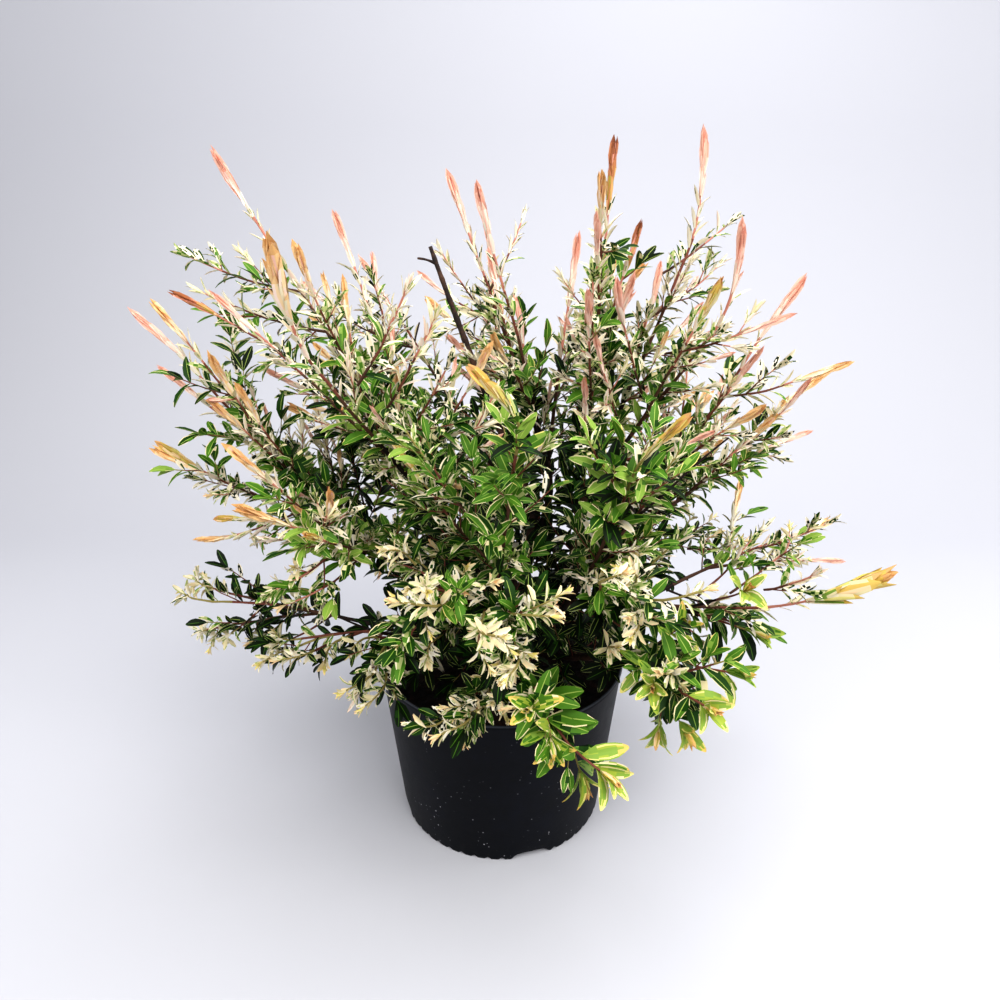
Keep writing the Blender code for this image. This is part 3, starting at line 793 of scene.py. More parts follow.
def turns_along(path: list[Vector]) -> list[Quaternion]:
    """The untwisted turns that point +Z along a path.

    Args:
        path: The path's points.

    Returns:
        The turn at each point.
    """
    turns = []
    for index in range(len(path)):
        heading = (path[min(index + 1, len(path) - 1)] - path[max(index - 1, 0)]).normalized()
        if turns:
            turns.append((turns[-1] @ UP).rotation_difference(heading) @ turns[-1])
        else:
            turns.append(heading.to_track_quat("Z", "Y"))
    return turns


def apart(first: tuple[Vector, Vector], second: tuple[Vector, Vector]) -> float:
    """The least distance between two straight segments.

    Args:
        first: The ends of one segment.
        second: The ends of the other.

    Returns:
        The distance.
    """
    run_a, run_b = first[1] - first[0], second[1] - second[0]
    offset = first[0] - second[0]
    square_a, square_b, both = run_a.dot(run_a), run_b.dot(run_b), run_a.dot(run_b)
    off_a, off_b = run_a.dot(offset), run_b.dot(offset)
    spread = square_a * square_b - both * both
    share_a = 0.0 if spread < 1e-12 else min(1.0, max(0.0, (both * off_b - square_b * off_a) / spread))
    share_b = min(1.0, max(0.0, (both * share_a + off_b) / square_b))
    share_a = min(1.0, max(0.0, (both * share_b - off_a) / square_a))
    return (offset + share_a * run_a - share_b * run_b).length


class Line:
    """A path through space that can be read at any distance from its foot."""

    def __init__(self, points: list[Vector]) -> None:
        """Measure a path of points."""
        self.points = points
        self.turns = turns_along(points)
        self.marks = [0.0]
        for first, second in zip(points, points[1:]):
            self.marks.append(self.marks[-1] + (second - first).length)
        self.length = self.marks[-1]

    def at(self, distance: float) -> tuple[Vector, Quaternion]:
        """The point at a distance from the foot, and the turn that points +Z along the path there.

        Args:
            distance: The distance along the path.

        Returns:
            The point and the turn.
        """
        distance = min(max(distance, 0.0), self.length)
        step = max(1, next((i for i, mark in enumerate(self.marks) if mark >= distance), len(self.marks) - 1))
        span = self.marks[step] - self.marks[step - 1]
        share = (distance - self.marks[step - 1]) / span if span else 0.0
        point = self.points[step - 1].lerp(self.points[step], share)
        return point, self.turns[step - 1].slerp(self.turns[step], share)


class Twigs:
    """Many thin round twigs that end up joined in one mesh, each a ring of sides carried along a path."""

    def __init__(self) -> None:
        """Start without twigs."""
        self.corners: list[np.ndarray] = []
        self.faces: list[np.ndarray] = []
        self.slots: list[int] = []
        self.total = 0

    def add(self, line: Line, radii: list[float], tints: list[Tint], sides: int) -> None:
        """Put down one twig.

        Args:
            line: The path that it follows.
            radii: Its radius at each of the path's points.
            tints: The tint of each stretch between them.
            sides: How many sides it has round it.
        """
        angles = [side * math.tau / sides for side in range(sides)]
        ring = [Vector((math.cos(angle), math.sin(angle), 0.0)) for angle in angles]
        corners = [line.points[0]]
        for point, turn, radius in zip(line.points, line.turns, radii):
            corners += [point + radius * (turn @ corner) for corner in ring]
        corners.append(line.points[-1] + radii[-1] * (line.turns[-1] @ UP))
        faces, last = [], len(corners) - 1
        for side in range(sides):
            on = (side + 1) % sides
            faces.append((0, 1 + on, 1 + side, 1 + side))
            self.slots.append(ORDER[tints[0]])
            for step in range(len(radii) - 1):
                low, high = 1 + step * sides, 1 + (step + 1) * sides
                faces.append((low + side, low + on, high + on, high + side))
                self.slots.append(ORDER[tints[step]])
            faces.append((last - sides + side, last - sides + on, last, last))
            self.slots.append(ORDER[tints[-1]])
        self.corners.append(np.array(corners, np.float32))
        self.faces.append(np.array(faces, np.int32) + self.total)
        self.total += len(corners)

    def join(self, name: str) -> bpy.types.Object:
        """Join all twigs in one mesh object.

        Args:
            name: The object's name.

        Returns:
            The object.
        """
        used = sorted(set(self.slots))
        slots = np.searchsorted(used, np.array(self.slots, np.int32))
        tints = [list(Tint)[index] for index in used]
        return mesh_object(name, np.concatenate(self.corners), np.concatenate(self.faces), slots, tints)


@dataclass(frozen=True)
class BoughPlan:
    """Where a bough leaves its parent limb, where its tip is, and how thick it is."""

    parent: str
    share: float
    bearing: float
    rise: float
    tip_bearing: float
    tip_rise: float
    reach: float
    foot_radius: float
    tip_radius: float


BOUGHS = {
    "stem_middle": BoughPlan("stool", 1.00, -60, 78, 20, 83, 0.150, 0.0066, 0.0054),
    "stem_cut": BoughPlan("stem_middle", 1.00, 175, 66, 160, 77, 0.434, 0.0048, 0.0037),
    "bough_centre": BoughPlan("stem_middle", 0.74, 30, 36, 34, 80, 0.205, 0.0040, 0.0035),
    "stem_right": BoughPlan("stool", 0.68, -34, 30, -18, 69, 0.195, 0.0056, 0.0037),
    "bough_right_high": BoughPlan("stool", 0.66, 32, 28, 4, 49, 0.165, 0.0054, 0.0037),
    "bough_left": BoughPlan("stool", 0.68, -160, 32, -166, 62, 0.175, 0.0056, 0.0037),
    "bough_back_high": BoughPlan("stool", 0.66, 98, 32, 98, 60, 0.170, 0.0054, 0.0037),
    "bough_front": BoughPlan("stool", 0.52, -108, 30, -106, 42, 0.130, 0.0048, 0.0036),
    "bough_front_right": BoughPlan("stool", 0.50, -62, 30, -57, 42, 0.130, 0.0046, 0.0034),
    "bough_far_left": BoughPlan("stool", 0.42, 176, 22, -176, 36, 0.155, 0.0052, 0.0038),
    "bough_right": BoughPlan("stool", 0.40, -4, 14, -14, 22, 0.140, 0.0050, 0.0036),
    "bough_low_left": BoughPlan("stool", 0.20, -158, 14, -164, 8, 0.135, 0.0046, 0.0034),
    "bough_low_front": BoughPlan("stool", 0.22, -98, 12, -92, 14, 0.120, 0.0042, 0.0032),
    "bough_low_right": BoughPlan("stool", 0.20, -42, 10, -40, 10, 0.135, 0.0044, 0.0034),
    "bough_back_right": BoughPlan("stool", 0.22, 42, 14, 42, 16, 0.135, 0.0046, 0.0036),
    "bough_back_left": BoughPlan("stool", 0.22, 116, 16, 112, 19, 0.140, 0.0048, 0.0038),
}


class Style(Enum):
    """How a shoot ends: the kind of its furled tip leaves, and whether they open as a rosette."""

    def __init__(self, leaf: Leaf | None, opens: bool) -> None:
        """Name the parts of a style."""
        self.leaf, self.opens = leaf, opens

    PINK = (Leaf.SPEAR_PINK, False)
    TAN = (Leaf.SPEAR_TAN, False)
    COPPER = (Leaf.SPEAR_COPPER, False)
    GOLD = (Leaf.SPEAR_GOLD, False)
    CREAM = (Leaf.HEART_LEAF, True)
    LIME = (Leaf.SPEAR_GOLD, True)
    PLAIN = (Leaf.PALE, False)
    MOTTLED = (Leaf.DAPPLED, False)
    DARK = (Leaf.GREEN, False)
    BARE = (None, False)


class Place(Enum):
    """Where in the crown a mass is, with the chances of how its side shoots and then its fine twigs end."""

    TOP = (
        ((Style.PINK, 0.40), (Style.TAN, 0.20), (Style.MOTTLED, 0.20), (Style.PLAIN, 0.20)),
        ((Style.PINK, 0.12), (Style.TAN, 0.07), (Style.MOTTLED, 0.34), (Style.PLAIN, 0.21), (Style.DARK, 0.26)),
    )
    FRONT = (
        ((Style.GOLD, 0.12), (Style.TAN, 0.10), (Style.CREAM, 0.03), (Style.MOTTLED, 0.30), (Style.DARK, 0.45)),
        ((Style.GOLD, 0.03), (Style.MOTTLED, 0.32), (Style.DARK, 0.65)),
    )
    MIDDLE = (
        ((Style.TAN, 0.20), (Style.CREAM, 0.32), (Style.GOLD, 0.06), (Style.MOTTLED, 0.24), (Style.PLAIN, 0.18)),
        ((Style.TAN, 0.05), (Style.CREAM, 0.20), (Style.MOTTLED, 0.33), (Style.PLAIN, 0.12), (Style.DARK, 0.30)),
    )
    RIM = (
        ((Style.CREAM, 0.68), (Style.MOTTLED, 0.14), (Style.DARK, 0.18)),
        ((Style.CREAM, 0.42), (Style.MOTTLED, 0.16), (Style.DARK, 0.42)),
    )
    LEAFY = (
        ((Style.LIME, 0.26), (Style.CREAM, 0.12), (Style.DARK, 0.62)),
        ((Style.LIME, 0.05), (Style.CREAM, 0.10), (Style.MOTTLED, 0.10), (Style.DARK, 0.75)),
    )
    LOW = (
        ((Style.CREAM, 0.55), (Style.PLAIN, 0.15), (Style.DARK, 0.30)),
        ((Style.CREAM, 0.24), (Style.MOTTLED, 0.12), (Style.DARK, 0.64)),
    )
    INSIDE = (((Style.DARK, 1.0),), ((Style.DARK, 1.0),))


# A steep mass with less reach than this is in the crown's front
NEARER = 0.44


@dataclass(frozen=True)
class MassPlan:
    """A mass of foliage.

    It has the bough that carries it, the direction, reach and bow of its stem, how its leader ends, and how full
    of shoots it is.
    """

    bough: str
    bearing: float
    rise: float
    reach: float
    bow: float
    style: Style
    fullness: float = 1.0

    def tip(self) -> Vector:
        """Where the leading tip is."""
        return HEART + self.reach * towards(self.bearing, self.rise)

    def place(self) -> Place:
        """Where in the crown the mass is.

        Returns:
            The place.
        """
        if self.bough == "bough_low_left":
            return Place.LOW
        if self.style is Style.LIME:
            return Place.LEAFY
        if self.style is Style.CREAM:
            return Place.RIM
        if self.rise > STEEP:
            return Place.FRONT if self.reach < NEARER else Place.TOP
        return Place.MIDDLE


# As in the solids, but for the rise of right_side: its furled gold tip then ends where the photo shows it
MASSES = {
    "left_top": MassPlan("bough_left", 176, 60, 0.590, -0.02, Style.PINK),
    "left_near_top": MassPlan("bough_left", -133, 58, 0.510, -0.04, Style.TAN),
    "left_tall": MassPlan("bough_left", 157, 65, 0.505, -0.03, Style.PINK),
    "centre_left": MassPlan("bough_centre", 128, 76, 0.507, 0.0, Style.PINK, 0.85),
    "centre": MassPlan("bough_centre", -150, 84, 0.485, 0.02, Style.PINK, 0.45),
    "centre_far": MassPlan("bough_centre", 50, 78, 0.440, 0.0, Style.PINK, 0.35),
    "right_top": MassPlan("stem_right", -14, 81, 0.528, 0.0, Style.COPPER),
    "right_tall": MassPlan("stem_right", 16, 71, 0.560, -0.02, Style.PINK, 0.8),
    "right_upper": MassPlan("stem_right", -26, 66, 0.492, -0.02, Style.PINK, 0.7),
    "right_lean": MassPlan("bough_right_high", -4, 56, 0.478, -0.04, Style.PINK, 0.75),
    "right_far": MassPlan("bough_right_high", 9, 41, 0.455, -0.08, Style.TAN, 0.85),
    "left_far": MassPlan("bough_far_left", -178, 44, 0.530, -0.05, Style.PINK),
    "left_mid": MassPlan("bough_far_left", 174, 27, 0.460, 0.0, Style.TAN, 0.5),
    "left_near": MassPlan("bough_far_left", -143, 37, 0.380, -0.01, Style.TAN),
    "front_top": MassPlan("bough_front", -102, 56, 0.430, -0.03, Style.GOLD, 0.82),
    "front_left": MassPlan("bough_front", -117, 33, 0.315, 0.03, Style.CREAM, 0.8),
    "front_mid": MassPlan("bough_front", -92, 30, 0.315, 0.04, Style.CREAM, 0.8),
    "right_near": MassPlan("bough_front_right", -60, 52, 0.405, -0.03, Style.GOLD, 0.75),
    "front_right": MassPlan("bough_front_right", -54, 33, 0.325, 0.0, Style.CREAM, 0.85),
    "right_side": MassPlan("bough_right", -20, 20.5, 0.380, 0.0, Style.GOLD, 0.5),
    "right_mid": MassPlan("bough_right", 10, 17, 0.395, 0.03, Style.TAN, 0.6),
    "low_right": MassPlan("bough_right", -12, 6, 0.300, 0.04, Style.DARK, 0.35),
    "back_top": MassPlan("bough_back_high", 100, 64, 0.500, -0.02, Style.PINK, 0.6),
    "back_right_top": MassPlan("bough_back_high", 62, 56, 0.490, -0.03, Style.COPPER, 0.7),
    "back_left_top": MassPlan("bough_back_high", 132, 54, 0.500, -0.03, Style.PINK, 0.6),
    "back_right": MassPlan("bough_back_right", 48, 29, 0.430, -0.02, Style.TAN),
    "low_back_side": MassPlan("bough_back_right", 24, 8, 0.340, 0.06, Style.CREAM, 0.6),
    "low_back_right": MassPlan("bough_back_right", 56, 2, 0.370, 0.05, Style.CREAM),
    "back": MassPlan("bough_back_left", 94, 29, 0.420, -0.02, Style.PINK),
    "back_left": MassPlan("bough_back_left", 132, 28, 0.430, -0.02, Style.TAN),
    "low_back": MassPlan("bough_back_left", 94, 2, 0.360, 0.05, Style.CREAM),
    "low_back_left": MassPlan("bough_back_left", 132, 1, 0.380, 0.05, Style.GOLD),
    "low_left": MassPlan("bough_low_left", 176, 6, 0.405, 0.04, Style.CREAM, 0.3),
    "low_left_near": MassPlan("bough_low_left", -165, 0, 0.300, 0.08, Style.CREAM, 0.3),
    "rim_left": MassPlan("bough_low_left", -138, 6, 0.250, 0.08, Style.CREAM, 0.6),
    "rim_front": MassPlan("bough_low_front", -112, 6, 0.245, 0.08, Style.CREAM, 0.8),
    "rim_right": MassPlan("bough_low_front", -74, 3, 0.275, 0.08, Style.LIME, 0.35),
    "low_right_near": MassPlan("bough_low_right", -55, 12, 0.290, 0.06, Style.LIME, 0.5),
    "low_right_side": MassPlan("bough_low_right", -36, 10, 0.270, 0.06, Style.LIME, 0.5),
}


@dataclass(frozen=True)
class Turn:
    """How the end of a leader turns across and up, over what length, and how large its spear is."""

    across: float = 0.0
    up: float = 0.0
    length: float = 0.080
    swell: float = 1.0


TURNS = {
    "left_near_top": Turn(0.027, 0.0, 0.090, 1.30),
    "right_tall": Turn(-0.023, 0.0, 0.090),
    "right_upper": Turn(-0.032, 0.0, 0.080),
    "right_side": Turn(0.0, 0.026, 0.085, 1.42),
    "rim_right": Turn(0.020, 0.0, 0.060),
    "front_top": Turn(-0.028, -0.004, 0.048, 0.92),
    "right_near": Turn(0.014, 0.0, 0.048, 0.80),
}


@dataclass(frozen=True)
class ShootPlan:
    """A long side shoot that shows: the mass it grows in, how far up the stem, its tip, and how it ends."""

    mass: str
    share: float
    bearing: float
    rise: float
    reach: float
    style: Style


SHOOTS = (
    ShootPlan("left_top", 0.40, 180, 66, 0.435, Style.TAN),
    ShootPlan("left_top", 0.30, -172, 50, 0.510, Style.COPPER),
    ShootPlan("left_tall", 0.45, 148, 65, 0.454, Style.PINK),
    ShootPlan("left_near_top", 0.30, -160, 54, 0.486, Style.PINK),
    ShootPlan("left_near_top", 0.25, -139, 65, 0.363, Style.TAN),
    ShootPlan("left_far", 0.35, -170, 48, 0.511, Style.TAN),
    ShootPlan("left_far", 0.30, -160, 45, 0.425, Style.TAN),
    ShootPlan("left_far", 0.50, -177, 41, 0.472, Style.PINK),
    ShootPlan("left_mid", 0.35, 172, 19, 0.381, Style.GOLD),
    ShootPlan("left_near", 0.35, -155, 42, 0.392, Style.TAN),
    ShootPlan("left_near", 0.30, -132, 38, 0.347, Style.GOLD),
    ShootPlan("low_left", 0.35, 173, -4, 0.404, Style.CREAM),
    ShootPlan("low_left", 0.45, 177, 10, 0.392, Style.CREAM),
    ShootPlan("low_left_near", 0.40, -176, 2, 0.290, Style.CREAM),
    ShootPlan("low_left_near", 0.30, -158, 1, 0.235, Style.CREAM),
    ShootPlan("rim_left", 0.30, -147, 12, 0.222, Style.CREAM),
    ShootPlan("rim_left", 0.35, -132, 2, 0.230, Style.CREAM),
    ShootPlan("centre_left", 0.30, 118, 80, 0.424, Style.PINK),
    ShootPlan("centre", 0.30, 104, 86, 0.376, Style.PINK),
    ShootPlan("centre", 0.20, -110, 76, 0.367, Style.TAN),
    ShootPlan("right_top", 0.35, -21, 76, 0.466, Style.COPPER),
    ShootPlan("right_top", 0.30, -33, 74, 0.418, Style.PINK),
    ShootPlan("right_tall", 0.30, 9, 71, 0.431, Style.PINK),
    ShootPlan("right_upper", 0.35, -34, 64, 0.450, Style.GOLD),
    ShootPlan("right_lean", 0.40, -15, 56, 0.408, Style.PINK),
    ShootPlan("right_lean", 0.30, -22, 51, 0.375, Style.TAN),
    ShootPlan("right_far", 0.30, -2, 45, 0.370, Style.TAN),
    ShootPlan("right_far", 0.45, 9, 35, 0.398, Style.PINK),
    ShootPlan("right_mid", 0.40, 3, 13, 0.378, Style.PINK),
    ShootPlan("right_side", 0.30, -36, 28, 0.290, Style.LIME),
    ShootPlan("low_right", 0.35, -22, 12, 0.270, Style.LIME),
    ShootPlan("front_mid", 0.35, -84, 33, 0.290, Style.CREAM),
    ShootPlan("front_mid", 0.40, -100, 30, 0.262, Style.CREAM),
    ShootPlan("front_left", 0.35, -112, 36, 0.295, Style.CREAM),
    ShootPlan("front_left", 0.30, -124, 33, 0.262, Style.CREAM),
    ShootPlan("front_right", 0.35, -67, 27, 0.270, Style.CREAM),
    ShootPlan("front_right", 0.25, -74, 38, 0.330, Style.CREAM),
    ShootPlan("rim_front", 0.30, -121, 2, 0.224, Style.CREAM),
    ShootPlan("rim_front", 0.25, -104, 10, 0.225, Style.CREAM),
    ShootPlan("rim_right", 0.30, -94, 14, 0.238, Style.CREAM),
    ShootPlan("rim_right", 0.35, -84, 6, 0.240, Style.LIME),
    ShootPlan("low_right_near", 0.30, -62, 20, 0.270, Style.CREAM),
    ShootPlan("right_near", 0.35, -39, 51, 0.354, Style.BARE),
    ShootPlan("rim_left", 0.20, -147, 23, 0.242, Style.BARE),
    ShootPlan("left_near_top", 0.30, -168, 74, 0.370, Style.BARE),
)


@dataclass(frozen=True)
class Stretch:
    """The leaves on one stretch of a shoot: the age where it ends, their kinds and chances, length and lean.

    The age of a leaf is its distance from the shoot's tip, for the longest shoots. The spacing is how far apart
    the pairs stand, as a share of the usual.
    """

    until: float
    kinds: tuple[tuple[Leaf, float], ...]
    length: float
    lean: float
    spacing: float = 1.0


class Scheme(Enum):
    """The stretches of a shoot from its tip to its foot, for each place in the crown."""

    HIGH = (
        Stretch(0.080, ((Leaf.PALE, 1.0),), 0.022, 24),
        Stretch(0.138, ((Leaf.PALE, 0.38), (Leaf.DAPPLED, 0.62)), 0.024, 36),
        Stretch(0.165, ((Leaf.DAPPLED, 0.52), (Leaf.GREEN, 0.48)), 0.026, 46),
        Stretch(9.0, ((Leaf.GREEN, 0.88), (Leaf.DAPPLED, 0.12)), 0.030, 54),
    )
    MOTTLED = (
        Stretch(0.060, ((Leaf.PALE, 0.35), (Leaf.DAPPLED, 0.65)), 0.022, 34),
        Stretch(9.0, ((Leaf.DAPPLED, 0.75), (Leaf.GREEN, 0.25)), 0.025, 48),
    )
    GREEN = (
        Stretch(0.060, ((Leaf.DAPPLED, 0.55), (Leaf.GREEN, 0.45)), 0.023, 34),
        Stretch(9.0, ((Leaf.GREEN, 0.88), (Leaf.DAPPLED, 0.12)), 0.030, 54),
    )
    LOW = (
        Stretch(0.046, ((Leaf.ROSETTE, 0.85), (Leaf.DAPPLED, 0.15)), 0.0185, 50, 0.62),
        Stretch(0.095, ((Leaf.DAPPLED, 0.5), (Leaf.GREEN, 0.5)), 0.023, 54),
        Stretch(9.0, ((Leaf.GREEN, 0.88), (Leaf.DAPPLED, 0.12)), 0.027, 58),
    )
    SMALL = (
        Stretch(0.050, ((Leaf.DAPPLED, 0.6), (Leaf.GREEN, 0.4)), 0.019, 40, 1.1),
        Stretch(9.0, ((Leaf.GREEN, 0.95), (Leaf.DAPPLED, 0.05)), 0.022, 52, 1.4),
    )
    INNER = (
        Stretch(0.030, ((Leaf.GREEN, 0.85), (Leaf.DAPPLED, 0.15)), 0.024, 42),
        Stretch(9.0, ((Leaf.GREEN, 0.95), (Leaf.DAPPLED, 0.05)), 0.030, 56),
    )
    LARGE = (
        Stretch(0.030, ((Leaf.GREEN, 0.80), (Leaf.LIME, 0.20)), 0.032, 48, 1.4),
        Stretch(9.0, ((Leaf.GREEN, 0.96), (Leaf.LIME, 0.04)), 0.040, 58, 1.9),
    )
    LIME = (
        Stretch(0.030, ((Leaf.LIME, 0.75), (Leaf.GREEN, 0.25)), 0.037, 50, 1.3),
        Stretch(9.0, ((Leaf.GREEN, 0.93), (Leaf.LIME, 0.07)), 0.042, 60, 1.9),
    )


@dataclass(frozen=True)
class Growth:
    """The sizes of the rule that the solids follow, and of the finer twigs and leaves that go on from it.

    The first ones, as far as the pot's, are those of the solids. The others shape the outer edge of the foliage,
    and then the shoots' ends, wood and leaves. A pair of radii is that of a shoot's foot and tip.
    """

    fork_depth: float = 0.0035
    checked: tuple[float, ...] = (0.0, 0.2, 0.4, 0.6, 0.8, 1.0)
    stem_steps: int = 5
    stem_pull: float = 0.12
    leaf_length: float = 0.072
    leaf_least: float = 0.74
    full_span: float = 0.290
    twig_sides: int = 3
    twig_radius: float = 0.0017
    twig_spacing: float = 0.070
    twig_first: float = 0.08
    twig_last: float = 0.84
    twig_share: float = 0.44
    twig_taper: float = 0.61
    twig_longest: float = 0.125
    twig_shortest: float = 0.030
    twig_spread: float = 46.0
    twig_shares: tuple[float, ...] = (1.0, 0.8, 0.6)
    wall_clear: float = 0.0004
    limb_clear: float = 0.0008
    bough_gap: float = 0.0003
    seat_inset: float = 0.0009
    end_overlap: float = 0.002
    pot_height: float = 0.196
    pot_radius: float = 0.140
    soft: float = 0.007
    leaf_clear: float = 0.004
    beside_pot: float = 0.006
    lowest_at_pot: float = 0.150
    least_reach: float = 0.45
    most_reach: float = 1.005
    steep_fall: float = 0.0095
    flat_fall: float = 0.0055
    spear_room: float = 0.030
    rosette_room: float = 0.020
    plain_room: float = 0.018
    leader_radius: float = 0.0026
    leader_share: float = 0.62
    leader_tip: float = 0.0009
    shown_radii: tuple[float, float] = (0.0016, 0.0008)
    side_radii: tuple[float, float] = (0.0013, 0.0007)
    inner_radii: tuple[float, float] = (0.0009, 0.0005)
    fine_radii: tuple[float, float] = (0.0008, 0.0005)
    fewest_points: int = 4
    knot: float = 0.16
    fine_pitch: float = 0.018
    fine_share: float = 0.46
    fine_longest: float = 0.062
    fine_shortest: float = 0.016
    fine_shares: tuple[float, ...] = (1.0, 0.75, 0.5)
    node_pitch: float = 0.0088
    wider_from: float = 0.12
    wider: float = 1.3
    rosette_leaf: float = 0.0172
    lime_leaf: float = 0.040
    rosette_start: float = 0.0005
    rosette_pitch: float = 0.0048
    bud_leaf: float = 0.018
    bud_depth: float = 0.008
    bud_leaves: int = 4
    golden: float = 137.5


class Limb:
    """The stool or a bough: its line, and its radius at foot and tip."""

    STEPS = 6
    SOLID_SIDES = 6

    def __init__(self, name: str, path: list[Vector], radii: list[float]) -> None:
        """Take the line of a limb from foot to tip."""
        self.name, self.path, self.radii = name, path, radii

    def at(self, share: float) -> Vector:
        """The point at a share of the way along."""
        place = share * (len(self.path) - 1)
        step = min(int(place), len(self.path) - 2)
        return self.path[step].lerp(self.path[step + 1], place - step)

    def radius_at(self, share: float) -> float:
        """The radius at a share of the way along."""
        place = share * (len(self.radii) - 1)
        step = min(int(place), len(self.radii) - 2)
        return self.radii[step] + (self.radii[step + 1] - self.radii[step]) * (place - step)

    def heading(self) -> Vector:
        """The direction in which its tip points."""
        return (self.path[-1] - self.path[-2]).normalized()

    def clears(self, segment: tuple[Vector, Vector], around: float) -> bool:
        """Whether a segment with a thickness of its own around it stays clear of the limb.

        Args:
            segment: The segment's ends.
            around: Its thickness to each side.

        Returns:
            True where it stays clear.
        """
        for index, pair in enumerate(zip(self.path, self.path[1:])):
            room = max(self.radii[index : index + 2]) / math.cos(math.pi / self.SOLID_SIDES) + around
            if apart(segment, pair) < room:
                return False
        return True


@dataclass
class Stool:
    """The short thick stem that all limbs grow from, and the limbs, laid out as in the solids."""

    foot: Vector = field(default_factory=lambda: Vector((0.014, 0.004, 0.1803)))
    top: Vector = field(default_factory=lambda: Vector((0.022, 0.0, 0.262)))
    radius: float = 0.0150
    flare: float = 0.0055
    bend: float = 0.45
    gap: float = 0.0003

    def limbs(self) -> dict[str, Limb]:
        """Lay out the stool and all boughs.

        Returns:
            Each limb by its node's name.
        """
        steps = Limb.STEPS
        shares = [step / steps for step in range(steps + 1)]
        path = [self.foot.lerp(self.top, share) for share in shares]
        radii = [self.radius + self.flare * (1 - share) ** 3 for share in shares]
        made = {"stool": Limb("stool", path, radii)}
        for name, plan in BOUGHS.items():
            start = made[plan.parent].at(plan.share)
            if plan.share == 1.0:
                start = start + self.gap * made[plan.parent].heading()
            tip = HEART + plan.reach * towards(plan.tip_bearing, plan.tip_rise)
            pull = start + self.bend * (tip - start).length * towards(plan.bearing, plan.rise)
            narrowing = plan.tip_radius - plan.foot_radius
            radii = [plan.foot_radius + narrowing * share for share in shares]
            made[name] = Limb(name, curve_points(start, pull, tip, steps), radii)
        return made


